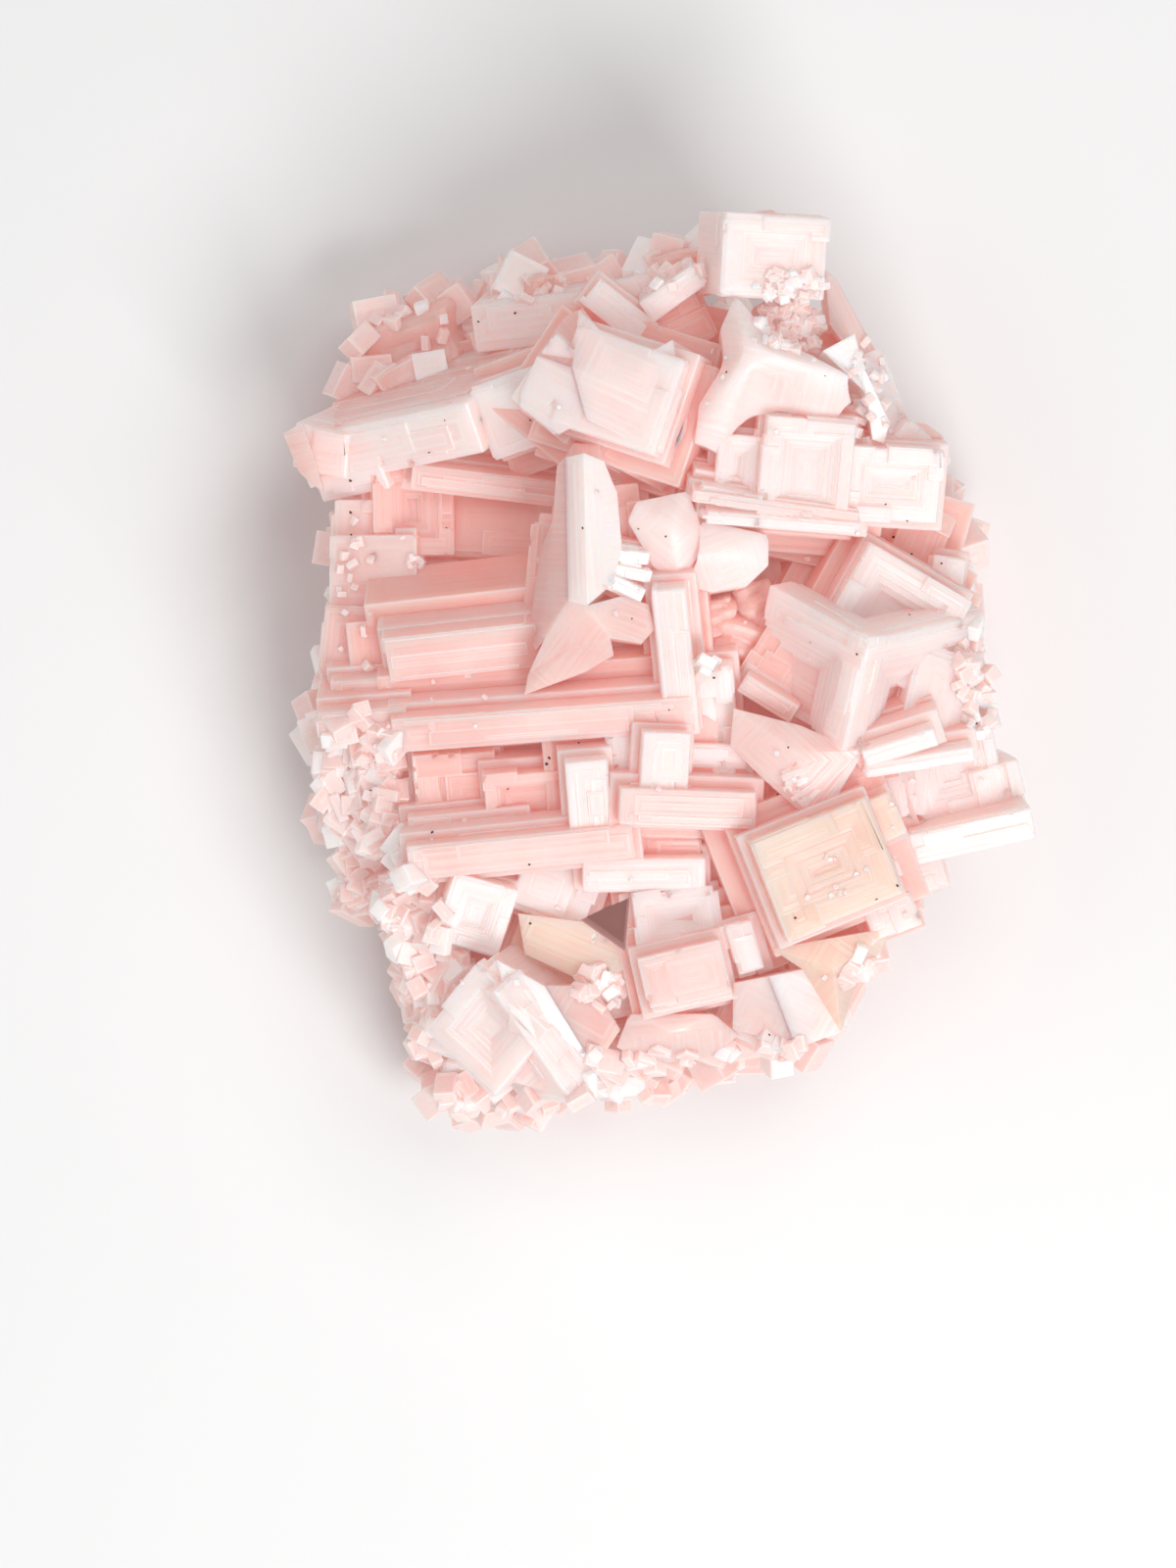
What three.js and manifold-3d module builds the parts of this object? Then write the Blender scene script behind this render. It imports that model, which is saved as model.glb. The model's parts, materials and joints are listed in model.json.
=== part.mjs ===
// A cluster of halite: cubic salt crystals with sunken, stepped faces, grown into one another as a
// single mass. Millimetres. +Z points out of the crystal-covered face, +Y to the top of the specimen as
// it is shown, and z = 0 is the flat back that it lies on. Every crystal overlaps its neighbours, so the
// cluster is one closed solid.
import * as THREE from "three";
import { mergeVertices } from "three/addons/utils/BufferGeometryUtils.js";
import Module from "manifold-3d";

const wasm = await Module();
wasm.setup();

// The ring of crystals round the flanks: how many, where the ring is, and the ranges of the height, size and
// upward tilt (radians) of its crystals.
const FLANK = {
  count: 56,
  centre: [-1, -2],
  reach: [45, 57],
  height: [5, 31],
  side: [8, 14],
  rise: [0.05, 0.7],
  shape: [0.7, 1.2], // length over width
  depth: 26,
};
// What each of their properties is spread by: no two steps round the ring give the same mix.
const SPREAD = { rise: 0.618, height: 0.755, side: 0.57, roll: 0.414, shape: 0.33 };
// The gap that runs right through between the lower plates, a slanted three-sided shaft.
const GAP = { at: [-6.2, -36.4], radius: 4.6, roll: 25 };
const CENTRE = [1, 0.7]; // middle of the cluster's outline, which becomes the origin
const WELD = 1e-4; // vertices closer than this are one vertex
const REACH = 200; // longer than the cluster on every side, for the block that trims its back flat
const LEDGES = 2; // terraces that a sunken face steps down by
const LEDGE_INSET = 0.4; // how far each terrace lies inside the one above, as a share of the rim

// Lattice directions, each [roll, lean, turn] in degrees: roll within the face, lean of the face towards +Y,
// then turn of the face towards +X. Crystals that grew parallel to each other share one.
const SLAB = [9, -24, -27];
const STACK = [4.5, -24, -3];
const STEPS = [5, -15, 2];
const TEE = [-2, -10, 6];
const PILLAR = [4, -20, 8];
const SADDLE = [77, -42, 23];
const STAR = [-25, -10, -45];
const LEDGE = [-4, -10, 6];
const PALE = [22, -4, 5];
const FACE = "face";
const CORNER = "corner";

// One crystal: where its front face's centre (or, for CORNER, its nearest corner) is, its size along its
// own edges, its lattice, and the faces that are sunk with the width of the rim left round them and how
// deep they go.
function crystal(at, size, lattice, pits = null, anchor = FACE) {
  return { at, size, lattice, pits, anchor };
}

function hopper(faces, rim, depth) {
  return { faces, rim, depth };
}

// The mass under the crystals, which carries them and shows at the bottom of the gaps between them.
const core = [
  crystal([-24, 26, 30], [38, 34, 34], [8, 0, -12]),
  crystal([-20, -6, 41], [48, 32, 46], [5, -10, -4]),
  crystal([12, 36, 44], [34, 34, 48], [-12, 0, 8]),
  crystal([4, 8, 40], [32, 34, 44], [10, 0, 4]),
  crystal([28, -2, 40], [32, 32, 46], [-30, 0, 12]),
  crystal([-18, -34, 34], [34, 30, 38], [-10, 6, -6]),
  crystal([22, -30, 40], [30, 26, 46], [20, 0, 6]),
  crystal([2, -44, 30], [30, 22, 34], [8, 10, 0]),
  crystal([-24, -52, 26], [20, 18, 30], [-20, 6, -4]),
  crystal([-12, 14, 24], [58, 40, 28], [12, 0, 0]),
  crystal([24, 14, 30], [40, 36, 34], [-16, 0, 0]),
  crystal([-2, -26, 22], [52, 40, 26], [-6, 0, 0]),
  crystal([-18, 44, 22], [40, 18, 26], [12, 0, -6]),
];

const frontCrystals = [
  // The slab across the upper left: a stepped stack that climbs away from its bright front edge.
  crystal([-39.5, 34, 38], [31, 8, 30], SLAB, hopper("+y", 1.6, 2)),
  crystal([-33, 42, 35], [30, 4, 26], SLAB),
  crystal([-25, 50.5, 31], [27, 5, 22], SLAB),
  crystal([-45, 29, 33], [12, 4.5, 16], SLAB),
  crystal([-37.3, 50, 22], [13, 10.5, 22], [15, -6, -12]),
  crystal([-16, 56.5, 28], [7, 8, 26], [4, -8, 8]),
  crystal([-17, 53, 30], [20, 7, 24], [6, -12, -6]),
  crystal([-20.5, 38.5, 46], [11, 11, 20], [16, -14, -25]),

  // The recess below the slab, floored with broad faces.
  crystal([-35.5, 25, 34], [12, 14, 18], [0, 6, 12], hopper("+z", 2.5, 2)),
  crystal([-22, 22.5, 32], [18, 10, 18], [-3, 10, -5]),
  crystal([-24, 28, 37], [24, 4, 16], [-7, -20, 0]),
  crystal([-44.5, 23, 34], [6, 6.5, 20], [0, 0, -10]),
  crystal([-41.5, 15, 36], [12.5, 12, 26], [0, 0, -8]),
  crystal([-44.5, 5, 38], [9.5, 10.5, 28], [-5, 0, -12]),

  // The stack of long bars on the left, and the square frame whose corner it makes.
  crystal([-28, 3, 48], [22.5, 7, 18], [7, -30, -2]),
  crystal([-16.4, -7.5, 51], [44, 5.4, 16], STACK),
  crystal([-42.5, -7.5, 47], [13, 5, 18], STACK),
  crystal([-40, -2.8, 43], [15, 5, 18], STACK),
  crystal([3, 1.5, 55], [5, 23, 18], STACK),
  crystal([8.5, -4.7, 49], [6.5, 12, 16], STACK),
  crystal([-12, -1.5, 44], [26, 6, 12], STACK),

  // The second frame, below it.
  crystal([-19.5, -26, 52], [33, 5.2, 16], [6, -15, 0]),
  crystal([-9.6, -18.5, 53], [6.2, 12, 16], STEPS),
  crystal([-18.5, -18.6, 46.5], [12.5, 8.5, 12], STEPS, hopper("+z", 1.2, 1)),
  crystal([-29, -16.5, 43], [12, 10, 12], STEPS),
  crystal([-27, -22, 46], [18, 4, 12], [6, -15, 0]),
  crystal([-1.5, -29.4, 48], [18, 5, 14], [1, -14, 2]),
  crystal([2, -25, 46], [9, 4.5, 12], [0, -10, 0]),

  // The tee-shaped frame in the middle.
  crystal([1.5, -13.5, 55], [7, 10, 16], TEE),
  crystal([4.8, -19.6, 55], [20, 5.4, 16], TEE),
  crystal([9, -12, 49], [9, 3.5, 12], TEE),
  crystal([10.5, -15, 48], [6.5, 3.5, 12], TEE),
  crystal([-4, -13, 50], [5, 9, 12], [12, 0, 0]),

  // The pillar: a beam that climbs to the top, on a foot that spreads to both sides.
  crystal([-9.6, 21, 62], [6.6, 25, 30], PILLAR),
  crystal([-6, 22, 59], [5, 17, 24], PILLAR),
  crystal([-12.6, 4.6, 59], [16, 7, 26], [36, -14, -16]),
  crystal([-4.6, 8, 59.5], [9.5, 4.6, 22], [-24, -14, 10]),
  crystal([-3.6, 16.2, 57.5], [5.6, 4.4, 18], [-8, -14, 8]),
  crystal([-15.4, 14, 52], [6, 20, 24], [-6, 0, -30]),

  // The pale block beside the slab, and the plates under its edge.
  crystal([-5.6, 40.6, 60], [16.5, 14.5, 22], [-18, 4, -15], hopper("+z", 3, 1.6)),
  crystal([-14.6, 41.6, 57], [8.5, 11.5, 20], [-38, -2, -24]),
  crystal([-2.4, 31, 53], [10.5, 5, 16], [-27, -10, 4]),
  crystal([2.6, 55.4, 50], [9.5, 3.6, 18], [36, -12, 0]),
  crystal([-5, 52.6, 49], [11, 4.6, 18], [-38, -6, 0]),
  crystal([3.6, 51, 46], [9, 7, 18], [26, 4, 8]),
  crystal([4.5, 59, 40], [10, 8, 26], [10, -6, 0]),
  crystal([-3, 56, 38], [9, 6, 20], [16, -6, 0]),

  // The saddle: three smooth hollow faces meeting at one corner, upper right.
  crystal([14, 45, 66], [19, 18, 15], SADDLE, hopper("+x+y+z", 3, 4), CORNER),

  // The cube at the top and the blades down its right side.
  crystal([17.2, 60, 60], [15, 12, 22], [-2, -6, 9], hopper("+z", 2.4, 0.7)),
  crystal([20.5, 51.5, 53], [10, 9, 18], [-12, 6, 6]),
  crystal([28.6, 51.2, 46], [4, 15, 20], [28, 0, 16]),
  crystal([30.5, 41, 53], [4.5, 12, 14], [25, 0, 12]),
  crystal([33.5, 40, 46], [6, 14, 18], [22, 0, 20]),

  // The ledged block under the saddle, and the pair of blocks at its right.
  crystal([22, 29, 57.5], [13, 15, 22], LEDGE, hopper("+z", 2, 1.4)),
  crystal([12, 29.2, 56], [6.6, 10.5, 20], [-5, -8, 2], hopper("+z", 1.4, 1.4)),
  crystal([18.2, 22.2, 58.5], [24.5, 3.4, 18], [-6, -22, 4]),
  crystal([34.5, 27.3, 54], [14, 10.5, 20], [-3, -12, 8], hopper("+z", 2, 1.2)),
  crystal([37.8, 31, 48], [9, 9, 18], [-40, -8, 20]),
  crystal([39.5, 20, 40], [8, 10.5, 20], [-24, 0, 24]),
  crystal([43.3, 14.5, 42], [5, 6, 16], [-8, 0, 10]),

  // The smooth arrow-shaped pair left of centre.
  crystal([1, 19.5, 57], [9, 14, 18], [28, 0, -10]),
  crystal([11, 16.8, 55], [12.5, 11, 18], [-8, -12, 4]),
  crystal([6, 12, 54], [8, 6, 14], [35, -8, 0]),

  // The rounded lumps in the hollow between the frames and the star.
  crystal([8.5, 8, 48], [8, 6, 14], [12, -10, 0]),
  crystal([14, 4, 47], [13, 7, 14], [-18, -14, 0]),
  crystal([15, 10.5, 46], [7, 7, 12], [20, 0, 0]),

  // The star: the big hopper corner at the right, the framed cube above it and the plates round it.
  crystal([30.5, 4.6, 64], [20, 18, 26], STAR, hopper("+x+y+z", 4.4, 4), CORNER),
  crystal([34.9, 8, 51], [17, 16, 24], [-29, -3, 12], hopper("+z", 2.4, 3)),
  crystal([20, -2.2, 49], [16, 9, 16], [-30, -20, -12], hopper("+z", 1.4, 1.6)),
  crystal([20.2, -11, 54], [14, 12.4, 18], [-43, -8, -8]),
  crystal([25.4, -14.4, 53], [4.2, 12.6, 16], [-41, -4, 14]),
  crystal([42, -3, 50], [10, 13, 22], [-14, 0, 18]),
  crystal([47.5, -2, 42], [5, 13, 20], [16, 0, 20]),

  // The bars at the lower right, and the long one that sticks out past them.
  crystal([35.4, -10.9, 57], [11, 2.8, 14], [19, -22, 4]),
  crystal([38.4, -12.9, 54], [16, 2.2, 14], [10, -22, 4]),
  crystal([44.5, -14.2, 45], [13, 12, 24], [14, -10, 14], hopper("+z", 2, 1.6)),
  crystal([51, -18.8, 43], [7.5, 11.5, 18], [16, -8, 12]),
  crystal([46.2, -23.8, 48], [19, 4.8, 20], [13, -16, 6]),
  crystal([34.6, -17, 47], [4.2, 8, 14], [10, 0, 0]),
  crystal([38, -17, 46], [4.2, 7, 12], [-6, 0, 0]),

  // The big pale cube, tilted, and its neighbours.
  crystal([24.8, -28.2, 58], [18, 15, 26], PALE, hopper("+z", 3.4, 1.6)),
  crystal([33.2, -21, 54], [4.6, 6.6, 20], [24, -4, 5]),
  crystal([33.5, -33, 50], [7, 10, 20], PALE),
  crystal([38, -29, 42], [8.5, 6, 18], [16, 0, 8]),

  // The plates at the bottom middle, beside the gap.
  crystal([4.6, -44.2, 53], [12, 8.4, 20], [13, -4, 2]),
  crystal([3.2, -35.8, 48], [12, 8.6, 20], [8, 6, 2], hopper("+z", 1.6, 1.4)),
  crystal([13.2, -39.8, 51], [3.8, 7.4, 16], [16, -4, 4]),
  crystal([12, -31, 42], [8, 14, 18], [12, 0, 6]),

  // The wedge at the bottom left with its bright bevelled bar.
  crystal([-15.6, -52.8, 52], [21, 5.5, 22], [-53, 0, 22]),
  crystal([-24.5, -52, 50], [14, 14, 24], [-44, -14, -24], hopper("+z", 2.4, 1.2)),
  crystal([-26, -35.2, 47], [10, 10.5, 18], [-16, -14, 10], hopper("+z", 1.8, 1.2)),
  crystal([-14.5, -32.3, 43], [11, 8, 16], [-20, -4, 0]),
  crystal([-12, -41, 40], [18, 8, 20], [-22, 4, 8]),
  crystal([-7.2, -46, 45], [4.6, 4.2, 14], [-10, -6, 0]),
  crystal([-9, -49, 42], [14, 5, 18], [14, -18, 0]),

  // The foot of the cluster.
  crystal([0, -53, 34], [24, 9, 26], [6, -8, 0]),
  crystal([8, -51, 38], [9, 9, 24], [-20, 0, 10]),
  crystal([-3.4, -61, 20], [12, 6.5, 20], [8, -4, 0]),
  crystal([-26.6, -61, 28], [13, 10, 28], [-8, -4, 0]),
  crystal([-16.5, -60, 26], [11, 7, 24], [25, 0, 0]),
  crystal([14.8, -48, 42], [9, 12, 26], [-25, 0, -14]),
  crystal([19.6, -49.3, 44], [4, 11, 24], [-25, 0, 18]),
  crystal([25.6, -46, 38], [8, 12, 28], [-12, 0, 18]),
  crystal([26, -41.5, 43], [11.5, 7, 20], [10, -6, 0]),

  // The rough left edge, where small crystals crowd together.
  crystal([-45, -16, 35], [9, 12, 24], [8, 0, -14]),
  crystal([-43.5, -28, 30], [9, 12, 26], [-8, 0, -12]),
  crystal([-48.6, -17, 24], [5, 12, 22], [4, 0, -20]),
  crystal([-50, -8, 30], [5.5, 5, 14], [20, 0, -10]),
  crystal([-38.5, -20, 40], [7, 8, 16], [12, 0, 0]),
  crystal([-35.5, -33.8, 42], [7, 8, 16], [-30, 0, -8]),
  crystal([-31.5, -43.5, 42], [9, 9, 20], [6, -6, 0]),
  crystal([-35.5, -45, 30], [6, 13, 24], [10, 0, -14]),
  crystal([-31, -52, 34], [6, 8, 20], [-18, 0, -6]),
];

// The crystals round the flanks, all the way down to the flat back. They face outwards and a little up,
// spread by the golden angle so that no two neighbours match in size, height or lean.
function flankCrystals() {
  const GOLDEN_ANGLE = Math.PI * (3 - Math.sqrt(5));
  const spread = (index, ratio) => (index * ratio) % 1;
  const placed = [];
  for (let i = 0; i < FLANK.count; i += 1) {
    const bearing = i * GOLDEN_ANGLE;
    const rise = THREE.MathUtils.lerp(...FLANK.rise, spread(i, SPREAD.rise));
    const height = THREE.MathUtils.lerp(...FLANK.height, spread(i, SPREAD.height));
    const side = THREE.MathUtils.lerp(...FLANK.side, spread(i, SPREAD.side));
    const shape = THREE.MathUtils.lerp(...FLANK.shape, spread(i, SPREAD.shape));
    const outward = new THREE.Vector3(Math.cos(bearing), Math.sin(bearing), Math.tan(rise)).normalize();
    const at = [
      FLANK.centre[0] + FLANK.reach[0] * Math.cos(bearing),
      FLANK.centre[1] + FLANK.reach[1] * Math.sin(bearing),
      height,
    ];
    const lean = THREE.MathUtils.radToDeg(Math.asin(outward.y));
    const turn = THREE.MathUtils.radToDeg(Math.atan2(outward.x, outward.z));
    const roll = 90 * spread(i, SPREAD.roll);
    placed.push(crystal(at, [side, side * shape, FLANK.depth], [roll, lean, turn]));
  }
  return placed;
}

function degrees(lattice) {
  return lattice.map((angle) => THREE.MathUtils.degToRad(angle));
}

// The matrix that carries a crystal from its own axes to its place in the cluster.
function placement({ at, size, lattice, anchor }) {
  const [roll, lean, turn] = degrees(lattice);
  const turned = new THREE.Matrix4()
    .makeRotationY(turn)
    .multiply(new THREE.Matrix4().makeRotationX(-lean))
    .multiply(new THREE.Matrix4().makeRotationZ(roll));
  const half = new THREE.Vector3(...size).multiplyScalar(0.5);
  const toCentre = anchor === CORNER ? half.negate() : new THREE.Vector3(0, 0, -half.z);
  toCentre.applyMatrix4(turned).add(new THREE.Vector3(...at));
  return turned.setPosition(toCentre);
}

function solidOf(geometry) {
  const bare = geometry.index ? geometry.toNonIndexed() : geometry;
  bare.deleteAttribute("normal");
  bare.deleteAttribute("uv");
  const merged = mergeVertices(bare, WELD);
  return new wasm.Manifold(
    new wasm.Mesh({
      numProp: 3,
      vertProperties: merged.getAttribute("position").array,
      triVerts: new Uint32Array(merged.index.array),
    }),
  );
}

function block(width, height, depth) {
  return solidOf(new THREE.BoxGeometry(width, height, depth));
}

// The stepped pit of one sunken face: boxes that get narrower as they get deeper.
function pit(size, axis, sign, rim, depth) {
  const pieces = [];
  for (let ledge = 1; ledge <= LEDGES; ledge += 1) {
    const margin = rim * (1 + LEDGE_INSET * (ledge - 1));
    const reach = (depth * ledge) / LEDGES;
    const cut = size.map((length, i) => (i === axis ? 2 * reach : length - 2 * margin));
    if (Math.min(...cut) <= 0) continue;
    const offset = [0, 0, 0];
    offset[axis] = (sign * size[axis]) / 2;
    pieces.push(block(...cut).translate(offset));
  }
  return pieces;
}

function crystalSolid(entry) {
  let solid = block(...entry.size);
  if (entry.pits) {
    for (const [, sign, axis] of entry.pits.faces.matchAll(/([+-])([xyz])/g)) {
      const { rim, depth } = entry.pits;
      const cuts = pit(entry.size, "xyz".indexOf(axis), sign === "+" ? 1 : -1, rim, depth);
      if (cuts.length) solid = solid.subtract(wasm.Manifold.union(cuts));
    }
  }
  return solid.transform(placement(entry).toArray());
}

function geometryOf(solid) {
  const mesh = solid.getMesh();
  const positions = new Float32Array(mesh.numVert * 3);
  for (let i = 0; i < mesh.numVert; i += 1) {
    positions.set(mesh.vertProperties.subarray(i * mesh.numProp, i * mesh.numProp + 3), i * 3);
  }
  const geometry = new THREE.BufferGeometry();
  geometry.setAttribute("position", new THREE.BufferAttribute(positions, 3));
  geometry.setIndex(new THREE.BufferAttribute(mesh.triVerts, 1));
  return geometry;
}

function shaft() {
  const prism = new THREE.CylinderGeometry(GAP.radius, GAP.radius, REACH, 3);
  prism.rotateX(Math.PI / 2);
  prism.rotateZ(THREE.MathUtils.degToRad(GAP.roll));
  prism.translate(...GAP.at, 0);
  return solidOf(prism);
}

const grown = wasm.Manifold.union([...core, ...frontCrystals, ...flankCrystals()].map(crystalSolid));
const belowBack = block(REACH, REACH, REACH).translate([0, 0, -REACH / 2]);
const trimmed = grown.subtract(belowBack).subtract(shaft()).translate([-CENTRE[0], -CENTRE[1], 0]);
const bodies = trimmed.decompose().sort((a, b) => b.volume() - a.volume());

const material = new THREE.MeshStandardMaterial({ color: 0xf3cfc8, roughness: 0.35, metalness: 0 });
const cluster = new THREE.Mesh(geometryOf(bodies[0]), material);
cluster.name = "halite_cluster";

const group = new THREE.Group();
group.add(cluster);

export default group;
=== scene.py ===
"""A cluster of pale pink halite: cubic salt crystals with sunken, stepped faces, grown together as one mass.

The cluster is modelled in millimetres and brought into the frame of its solid, in metres, at the end. Every
crystal is a bundle of copies of a few bars and plates, because salt grows as parallel sheets, and all of
them are joined into one skin. Sugar-sized crystals and dark grains are scattered over it afterwards.
"""

import json
import logging
import math
import random
from dataclasses import dataclass, field
from enum import Enum

import bpy
import numpy as np
from mathutils import Euler, Matrix, Vector
from mathutils.bvhtree import BVHTree

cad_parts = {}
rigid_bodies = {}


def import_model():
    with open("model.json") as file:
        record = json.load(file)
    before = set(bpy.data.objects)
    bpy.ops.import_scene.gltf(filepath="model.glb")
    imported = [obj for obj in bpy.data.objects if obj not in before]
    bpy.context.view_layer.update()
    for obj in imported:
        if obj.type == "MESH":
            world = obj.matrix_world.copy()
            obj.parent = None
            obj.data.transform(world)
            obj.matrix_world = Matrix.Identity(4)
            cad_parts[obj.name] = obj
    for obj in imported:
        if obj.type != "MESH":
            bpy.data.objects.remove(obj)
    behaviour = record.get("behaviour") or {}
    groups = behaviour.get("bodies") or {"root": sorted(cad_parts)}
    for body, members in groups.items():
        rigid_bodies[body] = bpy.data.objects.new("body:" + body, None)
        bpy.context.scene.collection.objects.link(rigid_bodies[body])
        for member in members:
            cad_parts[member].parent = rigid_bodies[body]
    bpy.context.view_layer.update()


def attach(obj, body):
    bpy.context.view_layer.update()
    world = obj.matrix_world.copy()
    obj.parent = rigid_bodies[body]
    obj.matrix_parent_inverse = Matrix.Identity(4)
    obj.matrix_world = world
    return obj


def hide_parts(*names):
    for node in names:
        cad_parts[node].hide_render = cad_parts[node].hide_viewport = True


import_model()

log = logging.getLogger("halite")

MM = 0.001
CENTRE = Vector((1.0, 0.7, 0.0))  # middle of the cluster's outline, where the frame of its solid starts
BEYOND = 100  # further than any side of the cluster, in millimetres
DROP_HEIGHT = 90  # where scattered crystals and grains fall from, in millimetres
EXTENT_STEP = 0.02  # the sizes that faces carry for their growth lines are steps of this, in millimetres
GOLDEN_ANGLE = math.pi * (3.0 - math.sqrt(5.0))

Triple = tuple[float, float, float]


class Habit(Enum):
    """How a crystal has grown."""

    CORE = "core"  # the mass that carries the others
    BAR = "bar"  # a bundle of long parallel bars
    BLOCK = "block"  # a cube of stacked sheets
    STAR = "star"  # three sunken faces meeting at one raised corner
    LUMP = "lump"  # eaten away to a rounded mass


class Finish(Enum):
    """The looks that a crystal can have. The value is the material slot's place on the cluster.

    MILKY is the salt's own colour. ROSE and BLUSH are pinker salt that also paint shade: ROSE paints half
    shade on faces turned from the light, and BLUSH paints deep shade in hollows and gaps. FROST is whiter
    salt that also paints glints and faces that catch the light.
    """

    MILKY = 0
    ROSE = 1
    BLUSH = 2
    HONEY = 3
    FROST = 4
    GRAIN = 5


@dataclass(frozen=True)
class Lattice:
    """The directions of a crystal's edges.

    Args:
        roll: Turn within the front face, in degrees.
        lean: Tilt of the front face towards +Y, in degrees.
        turn: Turn of the front face towards +X, in degrees.
    """

    roll: float
    lean: float
    turn: float

    def matrix(self) -> Matrix:
        """Returns the rotation from the crystal's own axes to the cluster's."""
        turned = Matrix.Rotation(math.radians(self.turn), 4, "Y")
        leaned = Matrix.Rotation(math.radians(-self.lean), 4, "X")
        rolled = Matrix.Rotation(math.radians(self.roll), 4, "Z")
        return turned @ leaned @ rolled


@dataclass(frozen=True)
class Pit:
    """A sunken face.

    Args:
        faces: The faces that are sunken, such as "+z" or "+x+y+z".
        rim: Width of the rim left round the pit, in millimetres.
        depth: Depth of the pit's floor, in millimetres.
        ledges: Terraces from the rim down to the floor.
    """

    faces: str
    rim: float
    depth: float
    ledges: int = 5


@dataclass(frozen=True)
class Crystal:
    """One crystal of the cluster.

    Args:
        at: Centre of its front face, or its nearest corner for a star, in millimetres.
        size: Its length along each of its own edges, in millimetres.
        lattice: The directions of its edges.
        habit: How it has grown.
        pit: Its sunken faces, if it has any.
        finish: Its look.
    """

    at: Triple
    size: Triple
    lattice: Lattice
    habit: Habit = Habit.BLOCK
    pit: Pit | None = None
    finish: Finish = Finish.MILKY

    @property
    def half(self) -> Vector:
        """Returns half of the crystal's size."""
        return Vector(self.size) / 2

    def placement(self) -> Matrix:
        """Returns the matrix from the crystal's centre and axes to its place in the cluster."""
        half = self.half
        inward = -half if self.cornered else Vector((0, 0, -half.z))
        return Matrix.Translation(self.at) @ self.lattice.matrix() @ Matrix.Translation(inward)

    @property
    def cornered(self) -> bool:
        """Returns whether the crystal is placed by its nearest corner."""
        return self.habit is Habit.STAR


@dataclass(frozen=True)
class Shard:
    """A crystal without a regular outline, given by the rim of its front face.

    Args:
        rim: The corners of its front face, in millimetres.
        roll: Direction of its growth lines, in degrees.
        finish: Its look.
        peak: A point that its front face rises or sinks to, or None for the middle of its rim.
        soft: Rounds of smoothing that water has given it.
        depth: How far it goes down into the cluster, in millimetres.
    """

    rim: tuple[Triple, ...]
    roll: float = 0.0
    finish: Finish = Finish.MILKY
    peak: Triple | None = None
    soft: int = 0
    depth: float = 14.0

    @property
    def middle(self) -> Vector:
        """Returns the middle of the rim."""
        return sum((Vector(corner) for corner in self.rim), Vector()) / len(self.rim)


SLAB = Lattice(9, -24, -27)
STACK = Lattice(4.5, -24, -3)
STEPS = Lattice(5, -15, 2)
TEE = Lattice(-2, -10, 6)
STAR = Lattice(-25, -10, -45)
LEDGE = Lattice(-4, -10, 6)
PALE = Lattice(22, -4, 5)

CORE = (
    Crystal((-24, 26, 30), (38, 34, 34), Lattice(8, 0, -12), Habit.CORE),
    Crystal((-20, -6, 41), (48, 32, 46), Lattice(5, -10, -4), Habit.CORE),
    Crystal((12, 36, 44), (34, 34, 48), Lattice(-12, 0, 8), Habit.CORE),
    Crystal((4, 8, 40), (32, 34, 44), Lattice(10, 0, 4), Habit.CORE),
    Crystal((28, -2, 40), (32, 32, 46), Lattice(-30, 0, 12), Habit.CORE),
    Crystal((-18, -34, 34), (34, 30, 38), Lattice(-10, 6, -6), Habit.CORE),
    Crystal((22, -30, 40), (30, 26, 46), Lattice(20, 0, 6), Habit.CORE),
    Crystal((2, -44, 30), (30, 22, 34), Lattice(8, 10, 0), Habit.CORE),
    Crystal((-24, -52, 26), (20, 18, 30), Lattice(-20, 6, -4), Habit.CORE),
    Crystal((-12, 14, 24), (58, 40, 28), Lattice(12, 0, 0), Habit.CORE),
    Crystal((24, 14, 30), (40, 36, 34), Lattice(-16, 0, 0), Habit.CORE),
    Crystal((-2, -26, 22), (52, 40, 26), Lattice(-6, 0, 0), Habit.CORE),
    Crystal((-18, 44, 22), (40, 18, 26), Lattice(12, 0, -6), Habit.CORE),
)

UPPER_LEFT = (
    # The slab's bright front edge. Its ribs climb away behind it.
    Crystal((-39.5, 34, 38), (31, 8, 30), SLAB, Habit.BAR),
    Crystal((-45, 29, 33), (12, 4.5, 16), SLAB, Habit.BAR),
    Crystal((-49.5, 33.5, 34), (9, 7, 18), Lattice(-14, -16, -27), Habit.BLOCK),
    Crystal((-37.3, 49, 22), (17, 14, 26), Lattice(15, -6, -12), Habit.LUMP, None, Finish.BLUSH),
    Crystal((-16, 56.5, 28), (7, 8, 26), Lattice(4, -8, 8), Habit.LUMP, None, Finish.BLUSH),
    Crystal((-17, 53, 30), (20, 7, 24), Lattice(6, -12, -6), Habit.BAR),
    Crystal((-20.5, 38.5, 46), (11, 11, 20), Lattice(16, -14, -25)),
    # The recess below it, floored with broad faces, in blush and rose that paint its shade.
    Crystal((-35.5, 25, 34), (12, 14, 18), Lattice(0, 6, 12), Habit.BLOCK, Pit("+z", 2.5, 2), Finish.BLUSH),
    Crystal((-22, 22.5, 32), (18, 10, 18), Lattice(-3, 10, -5), Habit.BLOCK, None, Finish.BLUSH),
    Crystal((-24, 28, 37), (24, 4, 16), Lattice(-7, -20, 0), Habit.BAR, None, Finish.ROSE),
    Crystal((-44.5, 23, 34), (6, 6.5, 20), Lattice(0, 0, -10), Habit.BLOCK, None, Finish.ROSE),
    Crystal((-41.5, 15, 36), (12.5, 12, 26), Lattice(0, 0, -8), Habit.BLOCK, None, Finish.ROSE),
    Crystal((-44.5, 5, 38), (9.5, 10.5, 28), Lattice(-5, 0, -12), Habit.BLOCK, None, Finish.ROSE),
)

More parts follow.
